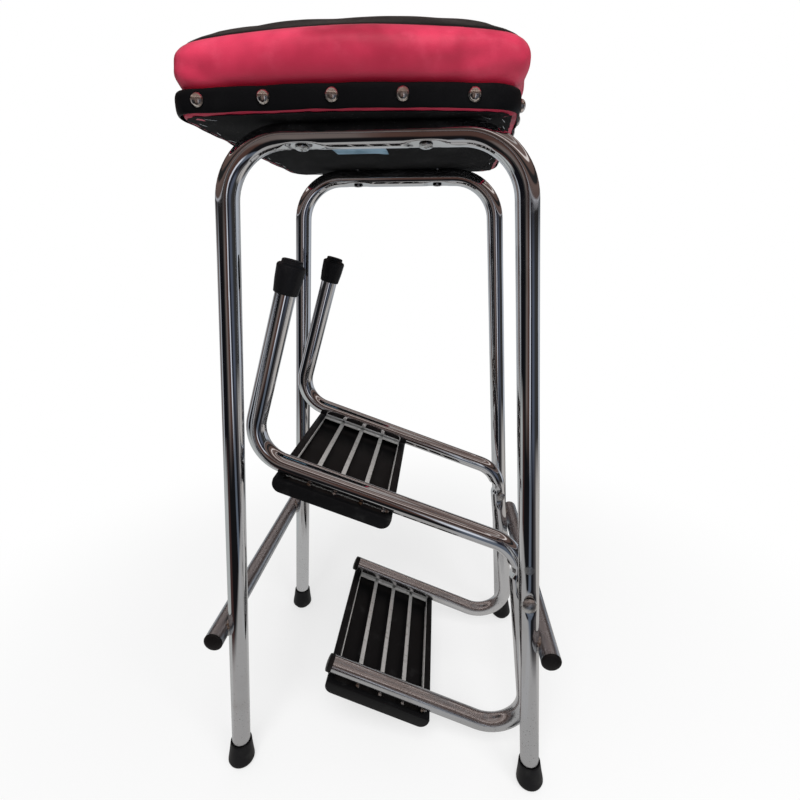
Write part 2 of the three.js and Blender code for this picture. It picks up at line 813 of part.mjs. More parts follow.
function foamBlock() {
  const depth = coverThickness + foamGap;
  const bottom = boardTop + contactGap;
  return loft(
    [
      cushionRing(-contactGap, () => bottom),
      ...bulgeRowShares.map((share) => sideRing(share, depth)),
      cushionRing(seamGrow - depth, (point) => seamAt(point) - depth),
      ...crownRowShares.map((share) => crownRing(share, seamGrow - depth, depth)),
    ],
    new THREE.Vector3(0, 0, bottom),
    new THREE.Vector3(0, 0, crownTop - depth),
  );
}

// Nail places on the band, evenly spaced along it

function nailPlaces() {
  const points = seatOutline(bandOut);
  const lengths = points.map((point, i) => point.distanceTo(points[(i + 1) % points.length]));
  const around = lengths.reduce((sum, length) => sum + length, 0);
  // The straight of the near face starts past the third corner
  const nearStart = 2 * (cornerSteps + sideSteps) + cornerSteps;
  const before = lengths.slice(0, nearStart).reduce((sum, length) => sum + length, 0);
  const start = before + (nailStart - points[nearStart].x);
  return Array.from({ length: nailCount }, (_, nail) => {
    let left = (start + around * nail / nailCount) % around;
    let i = 0;
    while (left > lengths[i]) {
      left -= lengths[i];
      i += 1;
    }
    const from = points[i];
    const to = points[(i + 1) % points.length];
    const place = from.clone().lerp(to, left / lengths[i]);
    const along = new THREE.Vector2().subVectors(to, from).normalize();
    const outwards = new THREE.Vector3(along.y, -along.x, 0);
    return { place: new THREE.Vector3(place.x, place.y, boardBottom + boardThickness / 2), outwards };
  });
}

function nail() {
  return turned([
    [0, -nailPinLength],
    [nailPinRadius, nailPinTaper - nailPinLength],
    [nailPinRadius, contactGap],
    [nailHeadRadius, contactGap],
    [nailHeadRadius * nailShoulderShare, nailHeadHeight * nailShoulderHeightShare],
    [0, nailHeadHeight],
  ], nailSides);
}

const nails = nailPlaces();
const nailHoles = nails.map(({ place, outwards }) => rodAlong(
  outwards,
  flatsRadius(nailPinRadius + contactGap, nailHoleSides),
  nailHoleSides,
  place.clone().addScaledVector(outwards, -nailPinLength - contactGap),
  place.clone().addScaledVector(outwards, cutOverrun),
));

// Holes for the seat screws, in the seat's own frame
function seatScrewHoles(radius, bottom, top) {
  const toSeat = seatGroup.matrixWorld.clone().invert();
  return ends.flatMap(([, end]) => screwHoles(end, radius, bottom, top))
    .map((hole) => hole.applyMatrix4(toSeat));
}

const screwTop = boardBottom + screwInBoard;
const screwBottom = hoopHeight - tubeRadius - contactGap;
const boardHoles = seatScrewHoles(screwHoleRadius, boardBottom - cutOverrun, screwTop + contactGap);
const dustHoles = seatScrewHoles(screwHoleRadius, seatBottom - cutOverrun, boardBottom + cutOverrun);
const band = outlineShape(bandOut);
band.holes.push(new THREE.Path(seatOutline(bandIn)));
const board = slab(outlineShape(0), boardBottom, boardThickness);
const dustCover = slab(outlineShape(-dustCoverInset), seatBottom, dustCoverThickness);

add('seat_board', cut(board, [...boardHoles, ...nailHoles]), plywood, seatGroup);
add('seat_foam', foamBlock(), foam, seatGroup);
add('seat_side_cover', cut(sideCover(), [...nailHoles, ...dustHoles]), crimsonVinyl, seatGroup);
add('seat_top_cover', topCover(), blackVinyl, seatGroup);
add('seat_band', cut(slab(band, bandBottom, bandHeight), nailHoles), blackVinyl, seatGroup);
add('seat_dust_cover', cut(dustCover, dustHoles), blackCloth, seatGroup);

nails.forEach(({ place, outwards }, i) => {
  const shape = pointAlong(nail(), outwards).translate(place.x, place.y, place.z);
  add(`seat_nail_${String(i + 1).padStart(2, '0')}`, shape, nickel, seatGroup);
});

for (const [endName, end] of ends) {
  for (const [flankName, flank] of flanks) {
    const screw = turned([
      [0, -screwHeadHeight],
      [screwHeadRadius - screwHeadRounding, -screwHeadHeight],
      [screwHeadRadius, screwHeadRounding - screwHeadHeight],
      [screwHeadRadius, 0],
      [screwShankRadius, 0],
      [screwShankRadius, screwTop - screwBottom - screwTip],
      [0, screwTop - screwBottom],
    ]);
    const place = screwPlace(flank, end, screwBottom);
    pointAlong(screw, new THREE.Vector3(0, 0, 1)).translate(place.x, place.y, place.z);
    add(`seat_screw_${endName}_${flankName}`, screw, nickel);
  }
}

export default stool;
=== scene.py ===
import math
import random

import bpy
from mathutils import Matrix, Quaternion, Vector, noise


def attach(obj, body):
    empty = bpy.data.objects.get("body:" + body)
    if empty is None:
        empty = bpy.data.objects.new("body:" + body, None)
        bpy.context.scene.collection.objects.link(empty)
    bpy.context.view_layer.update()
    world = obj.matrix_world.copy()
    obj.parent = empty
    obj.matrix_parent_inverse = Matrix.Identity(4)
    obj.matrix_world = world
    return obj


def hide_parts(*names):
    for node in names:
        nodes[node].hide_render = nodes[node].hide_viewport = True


# Folding step stool chair: the looks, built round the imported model. Metres, X to the right the
# way the steps swing out, Y away from the camera, Z up.

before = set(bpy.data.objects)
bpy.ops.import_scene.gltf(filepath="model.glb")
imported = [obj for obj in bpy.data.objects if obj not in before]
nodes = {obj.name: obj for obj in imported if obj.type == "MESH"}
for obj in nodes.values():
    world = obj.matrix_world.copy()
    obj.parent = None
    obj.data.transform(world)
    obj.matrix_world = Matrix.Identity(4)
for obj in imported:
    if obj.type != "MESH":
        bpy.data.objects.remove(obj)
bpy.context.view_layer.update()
scene = bpy.context.scene
stoolBody = "stool_frame"
stepBody = "step_frame"
quarterTurn = math.pi / 2
touch = 0.0003  # between pieces that touch
ends = (("near", -1), ("far", 1))
flanks = (("left", -1), ("right", 1))


# Camera, set to the photograph's viewpoint

photoView = {
    "place": (0.05958, -0.57977, 0.62736), "yaw": -0.07371, "pitch": 0.26096, "roll": 0.00191,
    "focalPixels": 471.15, "imagePixels": 800, "sensor": 36, "clipStart": 0.01,
    "axisX": 403.26, "axisY": 377.73,  # where the lens axis meets the picture
}


def addCamera(view):
    lens = bpy.data.cameras.new("photoCamera")
    camera = bpy.data.objects.new("photoCamera", lens)
    scene.collection.objects.link(camera)
    scene.camera = camera
    level = Vector((math.sin(view["yaw"]), math.cos(view["yaw"]), 0))
    ahead = level * math.cos(view["pitch"]) - Vector((0, 0, math.sin(view["pitch"])))
    right = Quaternion(ahead, view["roll"]) @ ahead.cross(Vector((0, 0, 1))).normalized()
    turned = Matrix((right, right.cross(ahead), -ahead)).transposed().to_4x4()
    camera.matrix_world = Matrix.Translation(view["place"]) @ turned
    half = view["imagePixels"] / 2
    lens.sensor_width = view["sensor"]
    lens.lens = view["focalPixels"] * view["sensor"] / view["imagePixels"]
    lens.shift_x = (half - view["axisX"]) / view["imagePixels"]
    lens.shift_y = (view["axisY"] - half) / view["imagePixels"]
    lens.clip_start = view["clipStart"]


# Modelling helpers

def deselectAll():
    if bpy.context.mode != "OBJECT":
        bpy.ops.object.mode_set(mode="OBJECT")
    bpy.ops.object.select_all(action="DESELECT")


def pick(*pieces):
    deselectAll()
    for piece in pieces:
        piece.select_set(True)
    bpy.context.view_layer.objects.active = pieces[0]


def edit(piece, mode="VERT"):
    pick(piece)
    bpy.ops.object.mode_set(mode="EDIT")
    bpy.ops.mesh.select_mode(type=mode)
    bpy.ops.mesh.select_all(action="SELECT")


def endEdit():
    bpy.ops.object.mode_set(mode="OBJECT")


def endShell():
    # faces outwards, then back to object mode
    bpy.ops.mesh.select_all(action="SELECT")
    bpy.ops.mesh.normals_make_consistent(inside=False)
    endEdit()


def applyPlace():
    bpy.ops.object.transform_apply(location=True, rotation=True, scale=True)


def newest(name):
    piece = bpy.context.object
    piece.name = name
    piece.data.name = name
    return piece


def addShape(kind, name, scale=(1, 1, 1), **settings):
    # a primitive mesh with its place and size kept in its points
    deselectAll()
    getattr(bpy.ops.mesh, f"primitive_{kind}_add")(**settings)
    piece = newest(name)
    piece.scale = scale
    applyPlace()
    return piece


def pushOut(rise):
    bpy.ops.mesh.extrude_region_move(TRANSFORM_OT_translate={"value": rise})


def joinPieces(name, *pieces):
    pick(*pieces)
    bpy.ops.object.join()
    return newest(name)


def applyModifiers(piece):
    pick(piece)
    for modifier in list(piece.modifiers):
        bpy.ops.object.modifier_apply(modifier=modifier.name)


def addModifier(piece, kind, **settings):
    modifier = piece.modifiers.new(kind.lower(), kind)
    for key, value in settings.items():
        setattr(modifier, key, value)
    return modifier


def softenEdges(piece, width, segments=2, angle=30):
    addModifier(piece, "BEVEL", width=width, segments=segments, limit_method="ANGLE",
                angle_limit=math.radians(angle), harden_normals=False)
    applyModifiers(piece)


def selectOnly(piece, mode, chosen):
    # marks faces or edges from code, with their points, and goes back to edit mode
    edit(piece, mode)
    endEdit()
    mesh = piece.data
    for part in (*mesh.vertices, *mesh.edges, *mesh.polygons):
        part.select = False
    for part in chosen(mesh):
        part.select = True
        for i in part.vertices:
            mesh.vertices[i].select = True
    bpy.ops.object.mode_set(mode="EDIT")


def selectFaces(piece, wanted):
    # by their middle and normal
    selectOnly(piece, "FACE", lambda mesh: [face for face in mesh.polygons
                                            if wanted(face.center, face.normal)])


def selectEdges(piece, wanted):
    # by their two ends
    selectOnly(piece, "EDGE", lambda mesh: [edge for edge in mesh.edges if wanted(
        *(mesh.vertices[i].co for i in edge.vertices))])


def placeAt(piece, place):
    piece.matrix_world = place @ piece.matrix_world
    pick(piece)
    applyPlace()


def standUp(place, direction):
    # turns something made along Z so that it points along a direction
    turn = Vector((0, 0, 1)).rotation_difference(Vector(direction).normalized())
    return Matrix.Translation(place) @ turn.to_matrix().to_4x4()


def finishPiece(piece, body, finish, stands=()):
    slot, smooth = slots[finish]
    applyModifiers(piece)
    applyPlace()
    bpy.ops.object.shade_smooth_by_angle(angle=math.radians(smooth))
    piece.data.materials.clear()
    piece.data.materials.append(finishes[finish])
    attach(piece, body)
    if stands:
        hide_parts(*stands)


def moveVertices(piece, mover):
    for vertex in piece.data.vertices:
        vertex.co = mover(vertex.co.copy())
    piece.data.update()


def copyPiece(piece, name):
    made = piece.copy()
    made.data = piece.data.copy()
    made.name = name
    made.data.name = name
    scene.collection.objects.link(made)
    return made


def turnedPiece(name, profile, sides=40):
    # profile of (radius, height), from the bottom up and, for a bore, down again inside
    radius, height = profile[0]
    piece = addShape("circle", name, vertices=sides, radius=radius, fill_type="NGON",
                     location=(0, 0, height))
    edit(piece, "FACE")
    for nextRadius, nextHeight in profile[1:]:
        pushOut((0, 0, nextHeight - height))
        grow = nextRadius / radius
        bpy.ops.transform.resize(value=(grow, grow, 1), center_override=(0, 0, nextHeight))
        radius, height = nextRadius, nextHeight
    endShell()
    return piece


def domeProfile(radius, height, base, steps=7):
    # from the rim up to a small flat on top
    turns = [quarterTurn * i / steps for i in range(steps)]
    rings = [(radius * math.cos(turn), base + height * math.sin(turn)) for turn in turns]
    return [*rings, (radius * 0.06, base + height)]


def smoothStep(x):
    x = min(max(x, 0), 1)
    return x * x * (3 - 2 * x)


# Shader helpers

def fill(tree, socket, value):
    # links another node's socket or sets a value
    if hasattr(value, "is_output"):
        tree.links.new(value, socket)
    elif socket.type == "RGBA":
        socket.default_value = (*value, 1)
    else:
        socket.default_value = value


def addNode(tree, kind, inputs=None, **settings):
    made = tree.nodes.new(f"ShaderNode{kind}")
    for key, value in settings.items():
        setattr(made, key, value)
    for socket, value in (inputs or {}).items():
        fill(tree, made.inputs[socket], value)
    return made.outputs


def addRamp(tree, marks, place):
    # marks of (place from 0 to 1, colour)
    made = tree.nodes.new("ShaderNodeValToRGB")
    elements = made.color_ramp.elements
    while len(elements) < len(marks):
        elements.new(0.5)
    for element, (position, color) in zip(elements, marks):
        element.position = position
        element.color = (*color, 1)
    tree.links.new(place, made.inputs["Fac"])
    return made.outputs["Color"]


def mixColors(tree, mask, first, second):
    # first where the mask is 0, second where it is 1; each a colour or a socket
    return addNode(tree, "Mix", {"Factor": mask, "A": first, "B": second},
                   data_type="RGBA")["Result"]


def mixShaders(tree, mask, first, second):
    return addNode(tree, "MixShader", {0: mask, 1: first, 2: second})["Shader"]


def spread(tree, value, low, high, start=0, stop=1, smooth=False):
    # a value that runs from start to stop, stretched between low and high
    return addNode(tree, "MapRange", {"Value": value, "From Min": start, "From Max": stop,
                                      "To Min": low, "To Max": high},
                   interpolation_type="SMOOTHSTEP" if smooth else "LINEAR")["Result"]


def combine(tree, operation, first, second, clamp=True):
    return addNode(tree, "Math", {0: first, 1: second}, operation=operation,
                   use_clamp=clamp)["Value"]


def objectPlace(tree):
    return addNode(tree, "TexCoord")["Object"]


def newGroup(name, inputs, outputs, given="Float", made="Float"):
    # inputs with their defaults, and the names of the outputs
    group = bpy.data.node_groups.new(name, "ShaderNodeTree")
    for label, value in inputs.items():
        socket = group.interface.new_socket(name=label, in_out="INPUT",
                                            socket_type=f"NodeSocket{given}")
        if value is not None:
            socket.default_value = value
    for label in outputs:
        group.interface.new_socket(name=label, in_out="OUTPUT", socket_type=f"NodeSocket{made}")
    return (group, group.nodes.new("NodeGroupInput").outputs,
            group.nodes.new("NodeGroupOutput").inputs)


def placeGroup(tree, group, **values):
    return addNode(tree, "Group", values, node_tree=group)


def buildMottle():
    # slow clouds between two levels: smudges, tone, dust
    group, given, out = newGroup("mottle", {"Scale": 8, "From": 0.4, "To": 0.6, "Detail": 3},
                                 ["Mask"])
    cloud = addNode(group, "TexNoise", {"Vector": objectPlace(group), "Scale": given["Scale"],
                                        "Detail": given["Detail"], "Roughness": 0.55})["Fac"]
    fill(group, out["Mask"], spread(group, cloud, 0, 1, given["From"], given["To"], True))
    return group


def buildPits():
    # sparse small round specks
    group, given, out = newGroup("pits", {"Scale": 220, "Share": 0.3, "Size": 0.25}, ["Mask"])
    cells = addNode(group, "TexVoronoi", {"Vector": objectPlace(group), "Scale": given["Scale"],
                                          "Randomness": 1})
    chance = addNode(group, "SeparateColor", {"Color": cells["Color"]})["Red"]
    chosen = combine(group, "LESS_THAN", chance, given["Share"], False)
    near = spread(group, cells["Distance"], 1, 0, 0, given["Size"])
    fill(group, out["Mask"], combine(group, "MULTIPLY", near, chosen, False))
    return group


def buildGrain():
    # leather-like cells with a finer grain over them
    group, given, out = newGroup("grain", {"Scale": 700, "Fine": 0.3}, ["Height", "Mask"])
    place = objectPlace(group)
    warp = addNode(group, "TexNoise", {"Vector": place, "Scale": 160, "Detail": 2})["Color"]
    mixed = addNode(group, "Mix", {"Factor": 0.004, "A": place, "B": warp}, data_type="VECTOR")
    cells = addNode(group, "TexVoronoi", {"Vector": mixed["Result"], "Scale": given["Scale"],
                                          "Smoothness": 0.5}, feature="SMOOTH_F1")["Distance"]
    fine = addNode(group, "TexNoise", {"Vector": place, "Scale": 2600, "Detail": 1})["Fac"]
    weighed = combine(group, "MULTIPLY", fine, given["Fine"], False)
    fill(group, out["Height"], combine(group, "ADD", cells, weighed, False))
    fill(group, out["Mask"], cells)
    return group


def buildHeightFade():
    # 1 below a height and 0 above another
    group, given, out = newGroup("heightFade", {"Low": 0.1, "High": 0.3}, ["Mask"])
    height = addNode(group, "SeparateXYZ", {"Vector": objectPlace(group)})["Z"]
    fill(group, out["Mask"], spread(group, height, 1, 0, given["Low"], given["High"], True))
    return group


def buildPatch():
    # a soft round patch at one place
    group, given, out = newGroup("patch", {"X": 0, "Y": 0, "Z": 0, "Reach": 0.005, "Soft": 0.3},
                                 ["Mask"])
    spot = addNode(group, "CombineXYZ", {axis: given[axis] for axis in "XYZ"})["Vector"]
    apart = addNode(group, "VectorMath", {0: objectPlace(group), 1: spot}, operation="DISTANCE")
    inner = combine(group, "MULTIPLY", given["Reach"], given["Soft"], False)
    fill(group, out["Mask"], spread(group, apart["Value"], 1, 0, inner, given["Reach"], True))
    return group


patchGroup = buildPatch()
mottleGroup = buildMottle()
pitsGroup = buildPits()
grainGroup = buildGrain()
heightGroup = buildHeightFade()


def clouds(tree, scale, low, high, detail):
    return placeGroup(tree, mottleGroup, Scale=scale, From=low, To=high, Detail=detail)["Mask"]


def newMaterial(name):
    material = bpy.data.materials.new(name)
    material.use_nodes = True
    return material, material.node_tree


def drive(tree, **sockets):
    # links or sets the shader's own sockets
    for label, value in sockets.items():
        fill(tree, tree.nodes["Principled BSDF"].inputs[label.replace("_", " ")], value)


def bumpFrom(tree, height, strength, distance):
    drive(tree, Normal=addNode(tree, "Bump", {"Height": height, "Strength": strength,
                                              "Distance": distance})["Normal"])


# Floor, backdrop, world and lamps

studio = {
    "floorHalf": 6.0, "floorColor": (0.93, 0.93, 0.93),
    "shadowReach": (0.25, 0.95), "shadowLift": 0.65,
    "sheetColor": (0.46, 0.45, 0.44),  # painted reflection of the pale ground round the stool, as the metal sees it
    "sheetReach": (0.385, 0.47),
    "sheetTrace": 0.20,  # how much of the room still shows in it
    "farGround": (1.0, 1.6), "roomTop": (0.02, 0.16), "worldStrength": 0.40,
}
lamps = {
    "keyLamp": {"place": (-0.05, -1.4, 2.1), "size": 1.1, "power": 31.0},
    "fillLamp": {"place": (1.2, -1.3, 1.3), "size": 0.9, "power": 15.0},
}
# what polished metal sees all round, in degrees from the camera's side, to the right
roomStripes = [
    (-180, (0.42, 0.44, 0.46)), (-118, (0.42, 0.44, 0.46)), (-114, (0.16, 0.13, 0.12)),
    (-92, (0.16, 0.13, 0.12)), (-89, (0.40, 0.42, 0.45)), (-78, (0.40, 0.42, 0.45)),
    (-75, (0.006, 0.006, 0.008)), (-34, (0.006, 0.006, 0.008)), (-31, (0.035, 0.035, 0.033)),
    (-24, (0.045, 0.040, 0.036)), (-21, (0.17, 0.14, 0.13)), (-10, (0.14, 0.11, 0.10)),
    (-6, (0.085, 0.046, 0.037)), (8, (0.075, 0.040, 0.032)), (11, (0.75, 0.78, 0.85)),
    (16, (0.75, 0.78, 0.85)), (19, (0.018, 0.018, 0.026)), (32, (0.024, 0.026, 0.036)),
    (36, (0.085, 0.10, 0.14)), (52, (0.080, 0.090, 0.12)), (57, (0.035, 0.037, 0.040)),
    (88, (0.040, 0.036, 0.032)), (92, (0.012, 0.012, 0.012)), (100, (0.012, 0.012, 0.012)),
    (104, (0.45, 0.48, 0.53)), (140, (0.45, 0.48, 0.53)), (150, (0.30, 0.30, 0.30)),
    (180, (0.42, 0.44, 0.46)),
]
# and above it, by the height of the ray
roomCeiling = [
    (0.05, (0.020, 0.018, 0.018)), (0.15, (0.020, 0.018, 0.018)), (0.158, (0.40, 0.40, 0.42)),
    (0.166, (0.40, 0.40, 0.42)), (0.18, (0.10, 0.070, 0.062)), (0.30, (0.14, 0.095, 0.082)),
    (0.33, (0.020, 0.020, 0.020)), (0.41, (0.020, 0.020, 0.020)), (0.44, (0.10, 0.065, 0.055)),
    (0.555, (0.13, 0.085, 0.072)), (0.575, (0.80, 0.72, 0.68)), (0.605, (0.80, 0.72, 0.68)),
    (0.63, (0.16, 0.11, 0.10)), (0.74, (0.15, 0.105, 0.090)), (0.755, (0.46, 0.42, 0.40)),
    (0.768, (0.46, 0.42, 0.40)), (0.785, (0.17, 0.125, 0.11)), (0.875, (0.14, 0.10, 0.09)),
    (0.89, (0.36, 0.33, 0.32)), (0.93, (0.38, 0.35, 0.33)), (0.95, (0.19, 0.15, 0.135)),
    (1.0, (0.23, 0.18, 0.165)),
]
# painted reflection of the ground between the pale sheet and the room
groundStripes = [
    (-180, (0.42, 0.43, 0.43)), (-60, (0.44, 0.46, 0.45)), (-55, (0.060, 0.030, 0.028)),
    (-40, (0.050, 0.026, 0.024)), (-36, (0.008, 0.008, 0.009)), (9, (0.008, 0.008, 0.009)),
    (13, (0.11, 0.13, 0.165)), (26, (0.11, 0.13, 0.165)), (30, (0.012, 0.012, 0.014)),
    (44, (0.012, 0.012, 0.014)), (49, (0.060, 0.055, 0.058)), (64, (0.075, 0.070, 0.070)),
    (69, (0.45, 0.43, 0.41)), (120, (0.50, 0.47, 0.44)), (128, (0.035, 0.035, 0.037)),
    (164, (0.035, 0.035, 0.037)), (171, (0.42, 0.43, 0.43)), (180, (0.42, 0.43, 0.43)),
]


def buildStripes(name, marks):
    # colours by the direction looked in, all round
    group, given, out = newGroup(name, {"Vector": None}, ["Color"], "Vector", "Color")
    parts = addNode(group, "SeparateXYZ", {"Vector": given["Vector"]})
    turned = combine(group, "MULTIPLY", parts["Y"], -1, False)
    around = combine(group, "ARCTAN2", parts["X"], turned, False)
    share = spread(group, around, 0, 1, -math.pi, math.pi)
    marks = [((angle + 180) / 360, color) for angle, color in marks]
    fill(group, out["Color"], addRamp(group, marks, share))
    return group


roomGroup = buildStripes("room", roomStripes)
groundGroup = buildStripes("ground", groundStripes)


def addLamp(name, lampValues):
    lamp = bpy.data.lights.new(name, "AREA")
    lamp.shape = "SQUARE"
    lamp.size = lampValues["size"]
    lamp.energy = lampValues["power"]
    made = bpy.data.objects.new(name, lamp)
    scene.collection.objects.link(made)
    made.location = lampValues["place"]
    made.visible_glossy = False
    aim = Vector((0, 0, 0.45)) - Vector(lampValues["place"])
    made.rotation_euler = aim.to_track_quat("-Z", "Y").to_euler()


def addFloor(values):
    floor = addShape("plane", "floor", size=2 * values["floorHalf"], location=(0, 0, 0))
    material, tree = newMaterial("floorPaint")
    drive(tree, Base_Color=values["floorColor"], Roughness=0.9, Specular_IOR_Level=0.1)
    place = addNode(tree, "NewGeometry")["Position"]
    distance = addNode(tree, "VectorMath", {0: place}, operation="LENGTH")["Value"]
    rays = addNode(tree, "LightPath")
    # the paint shows its shadow near the stool and is plain white further off
    far = spread(tree, distance, values["shadowLift"], 1, *values["shadowReach"], True)
    glow = addNode(tree, "Emission", {"Color": (1, 1, 1), "Strength": 1})["Emission"]
    seen = combine(tree, "ADD", rays["Is Camera Ray"], rays["Is Transmission Ray"])
    white = mixShaders(tree, combine(tree, "MULTIPLY", seen, far),
                       tree.nodes["Principled BSDF"].outputs["BSDF"], glow)
    # painted reflection: in glossy rays the floor glows with the pale sheet that the stool stands
    # on, and the dark room past it
    edge = spread(tree, distance, values["sheetTrace"], 1, *values["sheetReach"], True)
    further = spread(tree, distance, 0, 1, *values["farGround"])
    ground, room = (placeGroup(tree, group, Vector=place)["Color"]
                    for group in (groundGroup, roomGroup))
    color = mixColors(tree, edge, values["sheetColor"], mixColors(tree, further, ground, room))
    mirrored = addNode(tree, "Emission", {"Color": color, "Strength": 1})["Emission"]
    shown = mixShaders(tree, rays["Is Glossy Ray"], white, mirrored)
    fill(tree, tree.nodes["Material Output"].inputs["Surface"], shown)
    floor.data.materials.append(material)


def addWorld(values):
    world = bpy.data.worlds.new("studio")
    scene.world = world
    world.use_nodes = True
    tree = world.node_tree
    plain = tree.nodes["Background"]
    fill(tree, plain.inputs["Color"], (1, 1, 1))
    fill(tree, plain.inputs["Strength"], values["worldStrength"])
    bright = addNode(tree, "Background", {"Color": (1, 1, 1), "Strength": 1})["Background"]
    heading = addNode(tree, "TexCoord")["Generated"]
    height = addNode(tree, "SeparateXYZ", {"Vector": heading})["Z"]
    room = placeGroup(tree, roomGroup, Vector=heading)["Color"]
    color = mixColors(tree, spread(tree, height, 0, 1, *values["roomTop"]), room,
                      addRamp(tree, roomCeiling, height))
    mirrored = addNode(tree, "Background", {"Color": color, "Strength": 1})["Background"]
    rays = addNode(tree, "LightPath")
    seen = combine(tree, "ADD", rays["Is Camera Ray"], rays["Is Transmission Ray"])
    shown = mixShaders(tree, seen, plain.outputs["Background"], bright)
    shown = mixShaders(tree, rays["Is Glossy Ray"], shown, mirrored)
    fill(tree, tree.nodes["World Output"].inputs["Surface"], shown)


addCamera(photoView)
addFloor(studio)
addWorld(studio)
for lampName, lampValues in lamps.items():
    addLamp(lampName, lampValues)
scene.view_settings.view_transform = "Standard"
print("camera, floor and lamps ready")


# Finishes

def wornFinish(name, wear, colors, rough, metallic=0.0, dull=None, bump=None, grain=None,
               **sockets):
    # clouds of wear carry one colour and roughness over into another; bump and grain are
    # (what is placed, strength, distance)
    material, tree = newMaterial(name)
    mask = clouds(tree, *wear)
    drive(tree, Base_Color=mixColors(tree, mask, *colors), Metallic=metallic, **sockets,
          Roughness=spread(tree, clouds(tree, *dull) if dull else mask, *rough))
    if bump:
        bumpFrom(tree, clouds(tree, *bump[0]), *bump[1:])
    if grain:
        scale, fine = grain[0]
        bumpFrom(tree, placeGroup(tree, grainGroup, Scale=scale, Fine=fine)["Height"], *grain[1:])
    return material


def brightFinish(name, colors, scale, rough, dented):
    # small turned metal pieces: rivets, screws, nails, staples
    return wornFinish(name, (scale, 0.45, 0.75, 4), colors, (rough, rough + 0.25), 1.0,
                      bump=((scale, 0.25, 0.75, 1), dented, 0.001))


def plasticFinish(name, colors, grainScale):
    return wornFinish(name, (45, 0.55, 0.85, 7), colors, (0.38, 0.62),
                      grain=((grainScale, 0.5), 0.2, 0.0003), Specular_IOR_Level=0.2)


# a dull scuff on the near right leg, over the rivet
chromeScuff = {"X": 0.1608, "Y": -0.1445, "Z": 0.3025, "Reach": 0.0068, "Soft": 0.55}
# painted shade: the seat's side is darker low down, most of all in the middle of the near side
vinylPaintedShade = {"Low": 0.762, "High": 0.800}
vinylPaintedShadeMiddle = {"X": -0.02, "Y": -0.165, "Z": 0.760, "Reach": 0.150, "Soft": 0.2}


def chromeFinish():
    material, tree = newMaterial("chrome")
    film, smudge = clouds(tree, 14, 0.5, 0.75, 5), clouds(tree, 55, 0.48, 0.7, 6)
    low = placeGroup(tree, heightGroup, Low=0.05, High=0.24)["Mask"]
    pits = placeGroup(tree, pitsGroup, Scale=300, Share=0.45, Size=0.27)["Mask"]
    pits = combine(tree, "MULTIPLY", pits, spread(tree, low, 0.0, 0.8))
    color = mixColors(tree, spread(tree, film, 0, 0.5), (0.80, 0.81, 0.83), (0.60, 0.57, 0.54))
    color = mixColors(tree, pits, color, (0.16, 0.14, 0.12))
    scuff = placeGroup(tree, patchGroup, **chromeScuff)
    scuff = combine(tree, "MULTIPLY", scuff["Mask"], spread(tree, smudge, 0.7, 1.0))
    color = mixColors(tree, scuff, color, (0.66, 0.66, 0.66))
    rough = spread(tree, smudge, 0.035, 0.11)
    for mask, more in ((low, 0.2), (pits, 0.3), (scuff, 0.5)):
        rough = combine(tree, "ADD", rough, spread(tree, mask, 0, more))
    drive(tree, Base_Color=color, Roughness=rough, Metallic=1.0)
    waves = clouds(tree, 30, 0.2, 0.8, 1)
    bumpFrom(tree, combine(tree, "SUBTRACT", waves, pits, False), 0.035, 0.001)
    return material


def rubberFinish():
    material, tree = newMaterial("blackRubber")
    low = placeGroup(tree, heightGroup, Low=0.002, High=0.03)["Mask"]
    dust = combine(tree, "MULTIPLY", clouds(tree, 70, 0.5, 0.8, 5), spread(tree, low, 0.25, 0.9))
    color = mixColors(tree, dust, (0.005, 0.005, 0.006), (0.050, 0.048, 0.045))
    drive(tree, Base_Color=color, Roughness=spread(tree, dust, 0.42, 0.8), Specular_IOR_Level=0.22)
    bumpFrom(tree, placeGroup(tree, grainGroup, Scale=1500, Fine=0.6)["Height"], 0.15, 0.0003)
    return material


def vinylFinish(name, color, deep, bright, grainScale, rough, shine):
    material, tree = newMaterial(name)
    rubbed = clouds(tree, 60, 0.5, 0.85, 6)
    cells = placeGroup(tree, grainGroup, Scale=grainScale, Fine=0.35)
    shade = mixColors(tree, clouds(tree, 16, 0.3, 0.7, 3), deep, color)
    shade = mixColors(tree, spread(tree, rubbed, 0, 0.5), shade, bright)
    shade = mixColors(tree, spread(tree, cells["Mask"], 0.16, 0), shade, deep)
    # painted shade: the deep colour laid over the side low down, most of all in the middle of the
    # near side
    low = placeGroup(tree, heightGroup, **vinylPaintedShade)["Mask"]
    middle = placeGroup(tree, patchGroup, **vinylPaintedShadeMiddle)
    low = combine(tree, "MULTIPLY", low, spread(tree, middle["Mask"], 0.35, 0.95))
    drive(tree, Base_Color=mixColors(tree, low, shade, deep), Specular_IOR_Level=shine,
          Roughness=spread(tree, rubbed, rough - 0.05, rough + 0.1))
    bumpFrom(tree, cells["Height"], 0.22, 0.0003)
    return material


def clothFinish():
    material, tree = newMaterial("blackCloth")
    lint = placeGroup(tree, pitsGroup, Scale=420, Share=0.12, Size=0.3)["Mask"]
    color = mixColors(tree, clouds(tree, 22, 0.4, 0.7, 4), (0.003, 0.003, 0.004),
                      (0.009, 0.009, 0.010))
    color = mixColors(tree, spread(tree, lint, 0, 0.6), color, (0.22, 0.22, 0.21))
    drive(tree, Base_Color=color, Roughness=0.95)
    bumpFrom(tree, clouds(tree, 900, 0.3, 0.7, 2), 0.4, 0.0004)
    return material


